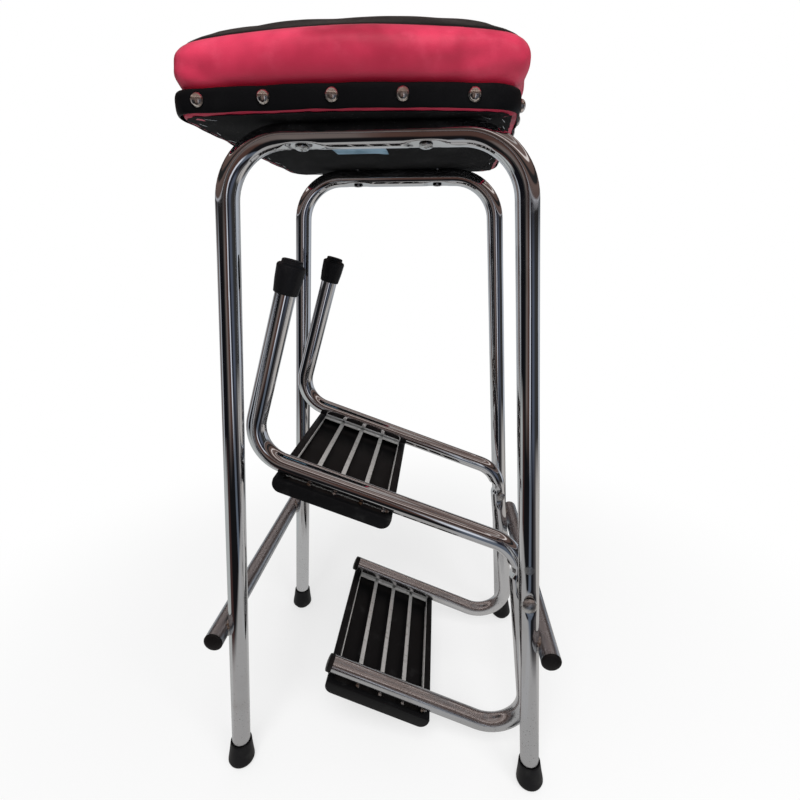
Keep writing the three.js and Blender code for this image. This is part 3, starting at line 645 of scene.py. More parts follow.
stripSpots = (160, 0.5, 0.72, 5)
finishes = {
    "chrome": chromeFinish(),
    "zinc": wornFinish("dullTube", (18, 0.5, 0.72, 5), ((0.56, 0.58, 0.61), (0.46, 0.47, 0.49)),
                       (0.27, 0.33), 1.0, dull=(60, 0.4, 0.8, 3)),
    "weld": wornFinish("weldBead", (120, 0.45, 0.65, 4), ((0.74, 0.73, 0.71), (0.30, 0.20, 0.13)),
                       (0.16, 0.5), 1.0, bump=((600, 0.3, 0.7, 2), 0.5, 0.0006)),
    "rivet": brightFinish("rivetSteel", ((0.80, 0.79, 0.77), (0.62, 0.61, 0.59)), 160, 0.30, 0.03),
    "nail": brightFinish("nailNickel", ((0.92, 0.84, 0.78), (0.66, 0.55, 0.48)), 110, 0.20, 0.08),
    "staple": brightFinish("stapleWire", ((0.72, 0.73, 0.74), (0.45, 0.44, 0.42)), 300, 0.2, 0.05),
    "rubber": rubberFinish(),
    "plug": plasticFinish("plugPlastic", ((0.006, 0.005, 0.005), (0.021, 0.020, 0.020)), 1400),
    "tread": plasticFinish("treadPlastic", ((0.004, 0.004, 0.0045), (0.026, 0.026, 0.0265)), 900),
    "strip": wornFinish("stripSteel", stripSpots, ((0.70, 0.70, 0.69), (0.52, 0.52, 0.50)),
                        (0.34, 0.6), 0.6, bump=(stripSpots, 0.15, 0.0004)),
    "crimson": vinylFinish("crimsonVinyl", (0.68, 0.045, 0.105), (0.27, 0.013, 0.035),
                           (0.72, 0.085, 0.155), 1100, 0.42, 0.3),
    "black": vinylFinish("blackVinyl", (0.006, 0.006, 0.0065), (0.003, 0.003, 0.0035),
                         (0.013, 0.0135, 0.0145), 1000, 0.42, 0.07),
    "cloth": clothFinish(),
    "label": wornFinish("paleLabel", (45, 0.4, 0.7, 5), ((0.16, 0.31, 0.43), (0.11, 0.21, 0.29)),
                        (0.3, 0.55), Specular_IOR_Level=0.3),
}
# welds on the grids, and the board's rim, where the side cover is wrapped round it
finishes["gridWeld"], finishes["board"] = finishes["weld"], finishes["crimson"]
# each finish's slot, and the angle in degrees up to which its edges look smooth
slots = {
    "chrome": ("chromed_tube", 50), "zinc": ("zinc_tube", 35), "weld": ("chromed_tube", 35),
    "gridWeld": ("grid_steel", 35), "rivet": ("rivet_steel", 40), "nail": ("nail_nickel", 50),
    "staple": ("rivet_steel", 50), "rubber": ("foot_rubber", 40), "plug": ("plug_plastic", 40),
    "tread": ("tread_plastic", 40), "strip": ("grid_steel", 40), "board": ("plywood", 40),
    "crimson": ("crimson_vinyl", 60), "black": ("black_vinyl", 60), "cloth": ("black_cloth", 60),
    "label": ("black_cloth", 60),
}
print("finishes ready")


# Tube frame

stock = {"radius": 0.011, "wall": 0.0012, "sides": 40, "ringSpacing": 0.0035, "bendSteps": 16}
hoop = {
    "height": 0.727, "topHalfWidth": 0.1335, "footHalfWidth": 0.1812, "topHalfDepth": 0.127,
    "footHalfDepth": 0.139, "bend": 0.058, "legEnd": 0.0075,
}
pivotSpot = {
    "tipHeadroom": 0.207, "inset": 0.0016, "headSeat": 0.0005, "bushLength": 0.012,
    "bushRadius": 0.008,
}
crossTube = {
    "drop": 0.0585, "bite": 0.0025, "overhang": 0.0233, "beads": 26, "beadRadius": 0.0021,
}
seat = {
    "offset": -0.0155, "turn": math.radians(-2), "screwHalfSpacing": 0.0555,
    "screwMiddle": 0.011, "halfWidth": 0.143, "halfDepth": 0.159, "cornerRadius": 0.022,
    "bow": 0.0025,
}
# oval flats pressed into the tubes: half length, half width, depth
flats = {
    "screw": {"length": 0.021, "width": 0.0095, "depth": 0.0024, "swell": 0.05},
    "rivet": {"length": 0.017, "width": 0.0095, "depth": 0.0016},
    "pinch": {"length": 0.022, "width": 0.012, "depth": 0.0016},
    "kink": {"length": 0.009, "width": 0.018, "depth": 0.0040},
    "kinkSide": {"length": 0.008, "width": 0.012, "depth": 0.0024},
}
# the four legs, by the two names of each
legs = [(f"{endName}{flankName.capitalize()}", f"{endName}_{flankName}", end, flank)
        for endName, end in ends for flankName, flank in flanks]


def legPoint(flank, end, height):
    drop = (hoop["height"] - height) / hoop["height"]
    x = hoop["topHalfWidth"] + drop * (hoop["footHalfWidth"] - hoop["topHalfWidth"])
    y = hoop["topHalfDepth"] + drop * (hoop["footHalfDepth"] - hoop["topHalfDepth"])
    return Vector((flank * x, end * y, height))


pivotHeight = (hoop["height"] - pivotSpot["tipHeadroom"]) / 2
pivotX = legPoint(1, 1, pivotHeight).x - pivotSpot["inset"]
legLean = math.atan((hoop["footHalfWidth"] - hoop["topHalfWidth"]) / hoop["height"])
depthLean = math.atan((hoop["footHalfDepth"] - hoop["topHalfDepth"]) / hoop["height"])
crossHeight = pivotHeight - crossTube["drop"]
crossX = legPoint(1, 1, crossHeight).x
crossX += (2 * stock["radius"] - crossTube["bite"]) / math.cos(legLean)
crossHalf = legPoint(1, 1, crossHeight).y + crossTube["overhang"]
legInner = legPoint(1, 1, pivotHeight).y - stock["radius"]
bushOuter = legInner - touch - pivotSpot["bushRadius"] * math.tan(depthLean)
bushInner = bushOuter - pivotSpot["bushLength"]
stepHalfSpacing = bushInner - touch - stock["radius"]


def pushRings(start, finish):
    # extrudes the picked ring along a straight run in even steps
    run = finish - start
    count = max(1, math.ceil(run.length / stock["ringSpacing"]))
    for _ in range(count):
        pushOut(run / count)


def bentTube(name, corners, bend):
    # a ring pushed along each run and spun round each bend
    heading = (corners[1] - corners[0]).normalized()
    piece = addShape("circle", name, vertices=stock["sides"], radius=stock["radius"],
                     location=corners[0], rotation=heading.to_track_quat("Z", "Y").to_euler())
    edit(piece)
    place = corners[0]
    for before, corner, after in zip(corners, corners[1:], corners[2:]):
        arriving = (corner - before).normalized()
        leaving = (after - corner).normalized()
        turn = arriving.angle(leaving)
        axis = arriving.cross(leaving).normalized()
        bendStart = corner - arriving * bend * math.tan(turn / 2)
        pushRings(place, bendStart)
        centre = bendStart + axis.cross(arriving) * bend
        bpy.ops.mesh.spin(steps=stock["bendSteps"], angle=-turn, center=centre, axis=axis)
        place = centre + Quaternion(axis, turn) @ (bendStart - centre)
    pushRings(place, corners[-1])
    endShell()
    return piece


def pressFlat(piece, centre, outwards, along, length, width, depth, swell=0.0):
    # centre lies on the tube's axis
    outwards = Vector(outwards).normalized()
    along = Vector(along).normalized()
    across = outwards.cross(along)
    plane = stock["radius"] - depth

    def mover(point):
        offset = point - centre
        reach = Vector((offset.dot(along) / length, offset.dot(across) / width)).length
        height = offset.dot(outwards)
        if reach > 1 or height < 0 or offset.length > 3 * length:
            return point
        share = smoothStep((1 - reach) * 2.2)
        if height > plane:
            point -= outwards * (height - plane) * share
        return point + across * offset.dot(across) * swell * share

    moveVertices(piece, mover)


def wallTube(piece):
    addModifier(piece, "SOLIDIFY", thickness=stock["wall"], offset=-1, use_even_offset=True)
    applyModifiers(piece)


def screwSpot(flank, end):
    y = end * hoop["topHalfDepth"]
    x = seat["offset"] + seat["screwMiddle"] + flank * seat["screwHalfSpacing"]
    return Vector((x - y * math.tan(seat["turn"]), y, hoop["height"]))


def makeHoops():
    for endName, end in ends:
        corners = [legPoint(flank, end, hoop[height]) for flank, height in (
            (-1, "legEnd"), (-1, "height"), (1, "height"), (1, "legEnd"))]
        piece = bentTube(f"{endName}HoopTube", corners, hoop["bend"])
        for _, flank in flanks:
            pressFlat(piece, screwSpot(flank, end), (0, -0.25, -1), (1, 0, 0), **flats["screw"])
        leg = legPoint(1, end, pivotHeight)
        pressFlat(piece, leg, (0, end, 0), corners[2] - leg, **flats["rivet"])
        wallTube(piece)
        finishPiece(piece, stoolBody, "chrome", [f"{endName}_hoop"])


makeHoops()
print("hoops ready")


# Rubber ferrules

ferrule = {
    "length": 0.035, "bore": 0.0113, "mouth": 0.0129, "sole": 0.008, "footFlare": 0.016,
    "tipFlare": 0.015, "step": 0.0040, "discHeight": 0.0040,
}


def ferruleProfile(flare):
    disc = flare - ferrule["step"]
    rise, mouth, top, bore, sole = (ferrule[key] for key in (
        "discHeight", "mouth", "length", "bore", "sole"))
    return [
        (disc * 0.5, 0), (disc * 0.86, 0), (disc * 0.96, 0.0005), (disc, 0.0014),
        (disc, rise * 0.8), (disc + 0.0005, rise), (flare - 0.0020, rise + 0.0006),
        (flare - 0.0007, rise + 0.0016), (flare, rise + 0.0034), (flare - 0.0002, rise + 0.0060),
        (mouth + 0.0013, top * 0.62), (mouth + 0.0002, top - 0.0035), (mouth, top - 0.0012),
        (mouth - 0.0003, top - 0.0004), (mouth - 0.0009, top), (bore + 0.0005, top),
        (bore + 0.0001, top - 0.0005), (bore, top - 0.0014), (bore, sole), (bore * 0.5, sole),
    ]


def makeFeet():
    flare = ferrule["footFlare"]
    for side, node, end, flank in legs:
        up = (legPoint(flank, end, hoop["height"]) - legPoint(flank, end, 0)).normalized()
        sink = (flare - ferrule["step"]) * math.hypot(up.x, up.y)
        piece = turnedPiece(f"{side}Foot", ferruleProfile(flare))
        placeAt(piece, standUp(legPoint(flank, end, -sink), up))
        # worn flat on the floor
        edit(piece)
        bpy.ops.mesh.bisect(plane_co=(0, 0, 0), plane_no=(0, 0, 1), clear_inner=True,
                            use_fill=True)
        endEdit()
        finishPiece(piece, stoolBody, "rubber", [f"foot_{node}"])


makeFeet()
print("feet ready")


# Cross tubes with their welds and end plugs

plug = {
    "stemRadius": 0.0087, "stemLength": 0.012, "rim": 0.0012, "crossHead": 0.0024,
    "stepHead": 0.0065,
}


def plugProfile(head):
    # the stem below zero, inside the tube, and the head above
    outer, rim, stem, low = stock["radius"], plug["rim"], plug["stemRadius"], -plug["stemLength"]
    return [
        (stem * 0.85, low), (stem, low + rim), (stem, touch), (outer - rim * 0.2, touch),
        (outer, touch + rim * 0.3), (outer - rim * 0.3, max(head - rim, touch + rim * 0.6)),
        (outer - rim, head - rim * 0.35), (outer - 2 * rim, head),
        (outer * 0.5, head + rim * 0.4), (outer * 0.1, head + rim * 0.5),
    ]


def weldBead(name, points, radius, seed):
    # overlapping blobs along a seam, melted together
    picker = random.Random(seed)
    blobs = []
    for point in points:
        deselectAll()
        size = radius * picker.uniform(0.8, 1.2)
        shake = Vector([picker.uniform(-0.2, 0.2) * radius for _ in range(3)])
        bpy.ops.mesh.primitive_ico_sphere_add(subdivisions=2, radius=size, location=point + shake)
        blobs.append(bpy.context.object)
    piece = joinPieces(name, *blobs)
    applyPlace()
    addModifier(piece, "REMESH", mode="VOXEL", voxel_size=radius * 0.28)
    addModifier(piece, "SMOOTH", factor=0.5, iterations=3)
    applyModifiers(piece)
    return piece


def crossWeldPoints(flank, end):
    # the rim of the bite between a cross tube and a leg
    points = []
    radius = stock["radius"]
    apart = 2 * radius - crossTube["bite"]
    steepest = math.acos((apart - radius) / radius)
    leg = legPoint(flank, end, crossHeight)
    for i in range(crossTube["beads"]):
        turn = 2 * math.pi * i / crossTube["beads"]
        lift = steepest * math.sin(turn)
        inward = apart - radius * math.cos(lift)
        half = math.sqrt(max(radius ** 2 - inward ** 2, 0))
        side = half if math.cos(turn) > 0 else -half
        outward = Vector((flank * inward, side, radius * math.sin(lift)))
        points.append(leg + outward * 1.04)
    return points


def makeCrossTubes():
    for flankName, flank in flanks:
        x = flank * crossX
        run = [Vector((x, end * crossHalf, crossHeight)) for _, end in ends]
        piece = bentTube(f"{flankName}CrossTube", run, 0)
        wallTube(piece)
        for _, end in ends:
            # notched where a leg is welded in
            leg = legPoint(flank, end, crossHeight)
            cutter = addShape("cylinder", "legCutter", vertices=64, depth=6 * stock["radius"],
                              radius=stock["radius"] + touch)
            placeAt(cutter, standUp(leg, legPoint(flank, end, hoop["height"]) - leg))
            addModifier(piece, "BOOLEAN", operation="DIFFERENCE", object=cutter, solver="EXACT")
            applyModifiers(piece)
            bpy.data.objects.remove(cutter)
        finishPiece(piece, stoolBody, "zinc", [f"{flankName}_cross_tube"])
        for side, node, end, legFlank in legs:
            if legFlank != flank:
                continue
            cap = turnedPiece(f"{side}CrossPlug", plugProfile(plug["crossHead"]))
            placeAt(cap, standUp((x, end * crossHalf, crossHeight), (0, end, 0)))
            finishPiece(cap, stoolBody, "plug", [f"cross_plug_{node}"])
            bead = weldBead(f"{side}Weld", crossWeldPoints(flank, end), crossTube["beadRadius"],
                            3 + flank + 2 * end)
            finishPiece(bead, stoolBody, "weld")


makeCrossTubes()
print("cross tubes ready")


# Step frame, as it hangs stowed

stepFrame = {
    "bend": 0.044, "shoulderRise": 0.0404, "heelHeight": 0.0171, "uprightSetback": 0.0039,
    "upperRun": 0.3236, "upperSlope": math.radians(19.85), "lowerRun": 0.2724,
    "lowerSlope": math.radians(21.99), "tipLean": math.radians(16.8), "tipFloorGap": 0.0008,
    "swing": math.radians(161), "kinkRise": 0.0145,
}


def runFrom(start, slope, length):
    return Vector((start.x + length * math.cos(slope), 0, start.z + length * math.sin(slope)))


def stepFramePoints():
    cross = Vector((crossX, 0, crossHeight))
    apart = 2 * stock["radius"] + touch
    toCross = cross - Vector((pivotX - stepFrame["uprightSetback"], 0, pivotHeight))
    lean = math.atan2(toCross.x, -toCross.z)
    lean -= math.asin(apart / toCross.length)
    rest = runFrom(cross, math.pi + lean, apart)
    up = quarterTurn + lean
    shoulderHeight = pivotHeight + stepFrame["shoulderRise"]
    shoulder = runFrom(rest, up, (shoulderHeight - rest.z) / math.cos(lean))
    heel = runFrom(rest, up, (stepFrame["heelHeight"] - rest.z) / math.cos(lean))
    elbow = runFrom(shoulder, math.pi - stepFrame["upperSlope"], stepFrame["upperRun"])
    lowerEnd = runFrom(heel, math.pi - stepFrame["lowerSlope"], stepFrame["lowerRun"])
    pivot = Vector((pivotX, 0, pivotHeight))
    tipUp = quarterTurn - stepFrame["tipLean"]
    outSlope = abs(tipUp - stepFrame["swing"] + quarterTurn)
    elbowOut = Quaternion((0, 1, 0), stepFrame["swing"]) @ (elbow - pivot) + pivot
    disc = ferrule["tipFlare"] - ferrule["step"]
    tipLength = elbowOut.z - stepFrame["tipFloorGap"] - disc * math.sin(outSlope)
    tipLength /= math.cos(outSlope)
    tubeLength = tipLength - ferrule["sole"] - touch
    return {
        "tip": runFrom(elbow, tipUp, tipLength), "tipTube": runFrom(elbow, tipUp, tubeLength),
        "elbow": elbow, "shoulder": shoulder, "heel": heel, "lowerEnd": lowerEnd, "pivot": pivot,
    }


stepAt = stepFramePoints()


def makeStepTubes():
    for endName, end in ends:
        across = Vector((0, end * stepHalfSpacing, 0))
        corners = [stepAt[name] + across
                   for name in ("tipTube", "elbow", "shoulder", "heel", "lowerEnd")]
        piece = bentTube(f"{endName}StepTube", corners, stepFrame["bend"])
        heel = stepAt["heel"]
        upright = (stepAt["shoulder"] - heel).normalized()
        onAxis = heel + upright * (stepAt["pivot"] - heel).dot(upright) + across
        side = upright.cross(Vector((0, 1, 0)))
        if side.x > 0:
            side = -side
        # pinched at the rivet, with a kink above it
        for facing in (-1, 1):
            pressFlat(piece, onAxis, (0, facing, 0), upright, **flats["pinch"])
        kink = onAxis + upright * stepFrame["kinkRise"]
        pressFlat(piece, kink, side, upright, **flats["kink"])
        pressFlat(piece, kink, side - Vector((0, 0.8, 0)), upright, **flats["kinkSide"])
        wallTube(piece)
        finishPiece(piece, stepBody, "chrome", [f"{endName}_step_tube"])

        cap = turnedPiece(f"{endName}TipFoot", ferruleProfile(ferrule["tipFlare"]))
        placeAt(cap, standUp(stepAt["tip"] + across, stepAt["elbow"] - stepAt["tip"]))
        finishPiece(cap, stepBody, "rubber", [f"tip_foot_{endName}"])

        stopper = turnedPiece(f"{endName}StepPlug", plugProfile(plug["stepHead"]))
        placeAt(stopper, standUp(stepAt["lowerEnd"] + across, stepAt["lowerEnd"] - heel))
        finishPiece(stopper, stepBody, "plug", [f"step_plug_{endName}"])


makeStepTubes()
print("step tubes ready")


# Rivets and bushes at the pivot

rivet = {
    "shank": 0.004, "headRadius": 0.0087, "headHeight": 0.0044, "tailRadius": 0.0058,
    "tailHeight": 0.0012, "bushChamfer": 0.0006,
}


def rivetProfile(length):
    # from the tail, inside the step tube, out to the domed head
    shank, head, tail, low = (rivet[key] for key in (
        "shank", "headRadius", "tailRadius", "tailHeight"))
    return [
        (tail * 0.5, -low), (tail * 0.85, -low * 0.8), (tail, -low * 0.4), (tail, 0), (shank, 0),
        (shank, length - 0.0009), (head * 0.97, length - 0.0009), (head, length - 0.0004),
        *domeProfile(head * 0.99, rivet["headHeight"], length),
    ]


def bushProfile():
    bore, less = rivet["shank"] + touch, rivet["bushChamfer"]
    radius, length = pivotSpot["bushRadius"], pivotSpot["bushLength"]
    return [(bore, 0), (radius - less, 0), (radius, less), (radius, length - less),
            (radius - less, length), (bore, length)]


def makePivots():
    outer = legPoint(1, 1, pivotHeight).y + stock["radius"] + pivotSpot["headSeat"]
    tail = stepHalfSpacing - stock["radius"] - touch
    for endName, end in ends:
        piece = turnedPiece(f"{endName}Rivet", rivetProfile(outer - tail))
        placeAt(piece, standUp((pivotX, end * tail, pivotHeight), (0, end, 0)))
        finishPiece(piece, stoolBody, "rivet", [f"pivot_rivet_{endName}"])

        bush = turnedPiece(f"{endName}Bush", bushProfile())
        selectFaces(bush, lambda middle, normal: abs(normal.z) > 0.9
                    and math.hypot(middle.x, middle.y) < rivet["shank"] / 2)
        bpy.ops.mesh.bridge_edge_loops()
        endEdit()
        placeAt(bush, standUp((pivotX, end * bushInner, pivotHeight), (0, end, 0)))
        finishPiece(bush, stoolBody, "rivet", [f"pivot_bush_{endName}"])


makePivots()
print("pivots ready")


# Treads: a moulded tray hooked round each grid

tread = {
    "upperAlong": 0.107, "lowerAlong": 0.070, "halfWidth": 0.070, "halfDepth": 0.116,
    "rim": -0.0125, "sole": -0.028, "plate": 0.0035, "wall": 0.003, "lip": 0.0025,
    "endLip": 0.0095, "sideLip": 0.007, "cornerRadius": 0.011, "edge": 0.0007,
    "ribs": 9, "ribHeight": 0.0007, "ribShort": 0.016,
}


def makeTray(name):
    rim, sole, lip, wall = (tread[key] for key in ("rim", "sole", "lip", "wall"))
    halfX, halfY, z = tread["halfWidth"], tread["halfDepth"], rim
    deep = rim - sole
    piece = addShape("cube", name, (2 * halfX, 2 * halfY, deep), size=1,
                     location=(0, 0, (rim + sole) / 2))
    low = sole + 0.001
    selectEdges(piece, lambda a, b: a.z < low and b.z < low and abs(a.x - b.x) < touch)
    bpy.ops.mesh.bevel(offset=tread["cornerRadius"], segments=8)
    selectFaces(piece, lambda middle, normal: normal.z > 0.9)
    # the mouth, then down past the lips, out under them and down to the plate
    steps = [
        (halfX - tread["endLip"], halfY - tread["sideLip"], 0), (1, 1, -lip),
        (halfX - wall, halfY - wall, 0), (1, 1, -(deep - lip - tread["plate"]) * 0.55),
        (0.965, 0.975, -(deep - lip - tread["plate"]) * 0.45),
    ]
    for x, y, drop in steps:
        z += drop
        pushOut((0, 0, drop))
        grow = (x, y) if drop else (x / halfX, y / halfY)
        bpy.ops.transform.resize(value=(*grow, 1), center_override=(0, 0, z))
        halfX, halfY = halfX * grow[0], halfY * grow[1]
    endEdit()
    softenEdges(piece, tread["edge"], 3, 40)
    return piece


def evenly(count, pitch):
    return [(i - (count - 1) / 2) * pitch for i in range(count)]


def addRibs(piece):
    # shallow ribs on the face that is stood on
    pitch = 2 * (tread["halfWidth"] - tread["cornerRadius"]) / tread["ribs"]
    size = (pitch * 0.55, 2 * tread["halfDepth"] - tread["ribShort"], 2 * tread["ribHeight"])
    rib = addShape("cube", "treadRib", size, size=1, location=(0, 0, tread["sole"]))
    softenEdges(rib, tread["ribHeight"] * 0.8, 2)
    row = [copyPiece(rib, f"rib{i}") for i in range(tread["ribs"])]
    bpy.data.objects.remove(rib)
    for one, x in zip(row, evenly(tread["ribs"], pitch)):
        one.location.x = x
    joinPieces(piece.name, piece, *row)


grid = {
    "top": -0.0113, "thickness": 0.0020, "stripWidth": 0.0056, "pitch": 0.031, "strips": 3,
    "barIn": 0.0105, "barOut": 0.002, "flange": 0.0013, "hookHeight": (-0.0168, -0.0153),
    "hookOut": 0.006, "hookShort": 0.020, "hookWidth": 0.006, "nubRadius": 0.0019,
    "nubOut": 0.0085, "nubHeight": -0.0100,
}


def addBlock(name, *spans):
    # a box from its two bounds along x, y and z, given in either order
    low, high = (Vector(side) for side in zip(*(sorted(span) for span in spans)))
    return addShape("cube", name, high - low, size=1, location=(low + high) / 2)


def makeGrid(name):
    # strips and edge flanges between two thin bars, with the hooks that hold the tray's lips
    flat = (grid["top"] - grid["thickness"], grid["top"])
    reach = tread["halfWidth"] - tread["endLip"] - touch
    inner, outer = stepHalfSpacing - grid["barIn"], stepHalfSpacing + grid["barOut"]
    hookEnd = stepHalfSpacing - grid["hookShort"]
    hookLow, hookHigh = grid["hookHeight"]
    half = grid["stripWidth"] / 2
    blocks = [((x - half, x + half), (-outer, outer), flat)
              for x in evenly(grid["strips"], grid["pitch"])]
    blocks += [((-reach, reach), (inner, outer), flat), ((-reach, reach), (-outer, -inner), flat)]
    for flank in (-1, 1):
        edge = flank * (reach - grid["flange"])
        flange = (edge, flank * reach)
        blocks += [(flange, (-outer, outer), flat),
                   ((edge, flank * (reach + grid["hookOut"])), (-hookEnd, hookEnd),
                    (hookLow, hookHigh))]
        for end in (-1, 1):
            foot = (end * hookEnd, end * (hookEnd - grid["hookWidth"]))
            blocks.append((flange, foot, (hookLow, grid["top"])))
    pieces = [addBlock(f"gridBlock{i}", *spans) for i, spans in enumerate(blocks)]
    made = joinPieces(name, *pieces)
    softenEdges(made, 0.0003, 2)
    return made


def nubPoints():
    # weld spots under the near tube, one at each strip and a bigger one at the right flange
    y, z = -(stepHalfSpacing + grid["nubOut"]), grid["nubHeight"]
    points = [Vector((x + shift, y, z)) for x in evenly(grid["strips"], grid["pitch"])
              for shift in (-0.0008, 0.001)]
    x = tread["halfWidth"] - tread["endLip"] - 0.003
    return points + [Vector((x + i * 0.0018, y + i * 0.0006, z)) for i in range(4)]


def makeTreads():
    for level, corner in (("upper", "elbow"), ("lower", "lowerEnd")):
        slope = stepFrame[f"{level}Slope"]
        middle = runFrom(stepAt[corner], -slope, tread[f"{level}Along"])
        place = Matrix.Translation(middle) @ Matrix.Rotation(slope, 4, "Y")
        piece = makeTray(f"{level}TreadTray")
        addRibs(piece)
        placeAt(piece, place)
        finishPiece(piece, stepBody, "tread", [f"{level}_tread_pad"])
        strips = makeGrid(f"{level}TreadGrid")
        placeAt(strips, place)
        finishPiece(strips, stepBody, "strip", [f"{level}_tread_grid"])
        nubs = weldBead(f"{level}TreadWelds", nubPoints(), grid["nubRadius"], 5)
        placeAt(nubs, place)
        finishPiece(nubs, stepBody, "gridWeld")


makeTreads()
print("treads ready")


# Seat: everything is shaped square to the seat, then moved and turned with it

seatFrame = Matrix.Translation((seat["offset"], 0, 0)) @ Matrix.Rotation(seat["turn"], 4, "Z")
outline = {"cornerSteps": 8, "sideCuts": 44}
skew = {
    "from": 0.055, "over": 0.198, "back": 0.018, "nearFrom": 0.030, "nearOver": 0.110,
    "easeFrom": 0.757, "easeOver": 0.030, "ease": 0.35,
}


def bowSides(point):
    # the long sides swell a little in the middle
    across = min(max(point.x / seat["halfWidth"], -1), 1)
    along = min(max(point.y / seat["halfDepth"], -1), 1)
    point.x += seat["bow"] * math.cos(quarterTurn * along) * across * abs(across)
    point.y += seat["bow"] * math.cos(quarterTurn * across) * along * abs(along)
    return point


def outlineRings(name, values, keepFace=False):
    # the seat's outline with rounded corners, grown outwards, as a sheet or only its edge, then
    # extruded through rows of (outwards, height)
    out, height = values["start"]
    halfX, halfY = seat["halfWidth"], seat["halfDepth"]
    piece = addShape("plane", name, (2 * (halfX + out), 2 * (halfY + out), 1), size=1,
                     location=(0, 0, height))
    edit(piece)
    bpy.ops.mesh.bevel(offset=seat["cornerRadius"] + out, segments=outline["cornerSteps"],
                       affect="VERTICES")
    selectEdges(piece, lambda a, b: (a - b).length > 4 * seat["cornerRadius"])
    bpy.ops.mesh.subdivide(number_cuts=outline["sideCuts"])
    bpy.ops.mesh.select_all(action="SELECT")
    if not keepFace:
        bpy.ops.mesh.delete(type="ONLY_FACE")
        bpy.ops.mesh.select_all(action="SELECT")
    for nextOut, nextHeight in values["rows"]:
        pushOut((0, 0, nextHeight - height))
        grow = ((halfX + nextOut) / (halfX + out), (halfY + nextOut) / (halfY + out), 1)
        bpy.ops.transform.resize(value=grow, center_override=(0, 0, nextHeight))
        out, height = nextOut, nextHeight
    endShell()
    return piece


def settleCorner(point):
    # the near side falls back towards its right end
    share = max((point.x + skew["from"]) / skew["over"], 0)
    near = smoothStep((-point.y - skew["nearFrom"]) / skew["nearOver"])
    less = 1 - skew["ease"] * smoothStep((point.z - skew["easeFrom"]) / skew["easeOver"])
    point.y += skew["back"] * share * share * near * less
    return point


def seatShape(point):
    return settleCorner(bowSides(point))


def edgeReach(point):
    # distance outside the seat's outline, and the way out
    r = seat["cornerRadius"]
    dx = abs(point.x) - seat["halfWidth"] + r
    dy = abs(point.y) - seat["halfDepth"] + r
    if dx > 0 and dy > 0:
        away = Vector((dx, dy, 0))
        reach = away.length - r
        away.normalize()
    elif dx > dy:
        reach, away = dx - r, Vector((1, 0, 0))
    else:
        reach, away = dy - r, Vector((0, 1, 0))
    return reach, Vector((math.copysign(away.x, point.x), math.copysign(away.y, point.y), 0))


cushion = {
    "start": (-0.009, 0.7570),
    "rows": [
        (-0.0020, 0.7570), (-0.0005, 0.7600), (0.0010, 0.7650), (0.0026, 0.7720),
        (0.0034, 0.7795), (0.0032, 0.7862), (0.0021, 0.7912), (0.0003, 0.7950),
        (-0.0028, 0.7983), (-0.0070, 0.8013), (-0.0120, 0.8046), (-0.0190, 0.8082),
        (-0.0310, 0.8128), (-0.0470, 0.8160), (-0.0680, 0.8178), (-0.0980, 0.8184),
    ],
    "voxel": 0.005, "pressure": 4.0, "frames": 20, "stiffness": 5, "swell": 0.0025,
    "pinBelow": 0.7600, "seam": 0.8000, "seamWidth": 0.0022, "seamDepth": 0.0009,
    "edge": 0.035, "foldPast": 0.03, "cornerDrop": 0.0105, "dropOver": (0.759, 0.03),
    # each an amount, the height where it begins, and over how much height it comes in
    "overhang": (0.0034, 0.761, 0.027), "rightOverhang": (0.0048, 0.756, 0.018),
    "lift": (0.0013, 0.757, 0.038), "crownLift": (0.0016, 0.800, 0.016),
    "ripples": ((26, 0.0007), (70, 0.0002)),  # scale, size
}
# soft folds in the side: middle (local x, y, z), direction of the crease, half length, half
# width, depth (minus for a ridge)
sideFolds = [
    ((-0.126, -0.160, 0.7745), (1.0, 0.0, -0.16), 0.030, 0.0055, 0.0016),
    ((-0.112, -0.160, 0.7660), (1.0, 0.0, -0.30), 0.026, 0.0050, 0.0012),
    ((-0.132, -0.160, 0.7625), (1.0, 0.0, 0.55), 0.016, 0.0035, -0.0008),
    ((-0.045, -0.162, 0.7655), (1.0, 0.0, 0.03), 0.060, 0.0100, 0.0017),
    ((0.035, -0.162, 0.7690), (1.0, 0.0, 0.06), 0.050, 0.0060, 0.0009),
    ((0.085, -0.160, 0.7700), (1.0, 0.0, 0.22), 0.035, 0.0060, 0.0012),
    ((0.112, -0.160, 0.7760), (1.0, 0.0, 0.30), 0.022, 0.0050, 0.0010),
    ((0.000, -0.162, 0.7870), (1.0, 0.0, 0.00), 0.090, 0.0060, -0.0006),
    ((-0.145, -0.110, 0.7720), (0.0, 1.0, -0.20), 0.034, 0.0060, 0.0013),
    ((-0.146, 0.020, 0.7680), (0.0, 1.0, 0.05), 0.060, 0.0080, 0.0014),
    ((-0.145, 0.115, 0.7730), (0.0, 1.0, 0.25), 0.030, 0.0060, 0.0012),
    ((0.145, -0.115, 0.7740), (0.0, 1.0, 0.22), 0.028, 0.0060, 0.0012),
    ((0.146, -0.010, 0.7675), (0.0, 1.0, -0.04), 0.055, 0.0080, 0.0014),
    ((0.145, 0.112, 0.7725), (0.0, 1.0, -0.24), 0.030, 0.0060, 0.0012),
    ((-0.080, 0.161, 0.7710), (1.0, 0.0, -0.20), 0.040, 0.0065, 0.0013),
    ((0.020, 0.162, 0.7670), (1.0, 0.0, 0.04), 0.060, 0.0085, 0.0015),
    ((0.095, 0.161, 0.7720), (1.0, 0.0, 0.24), 0.032, 0.0060, 0.0012),
]


def comeIn(height, amount, start, over):
    return amount * smoothStep((height - start) / over)


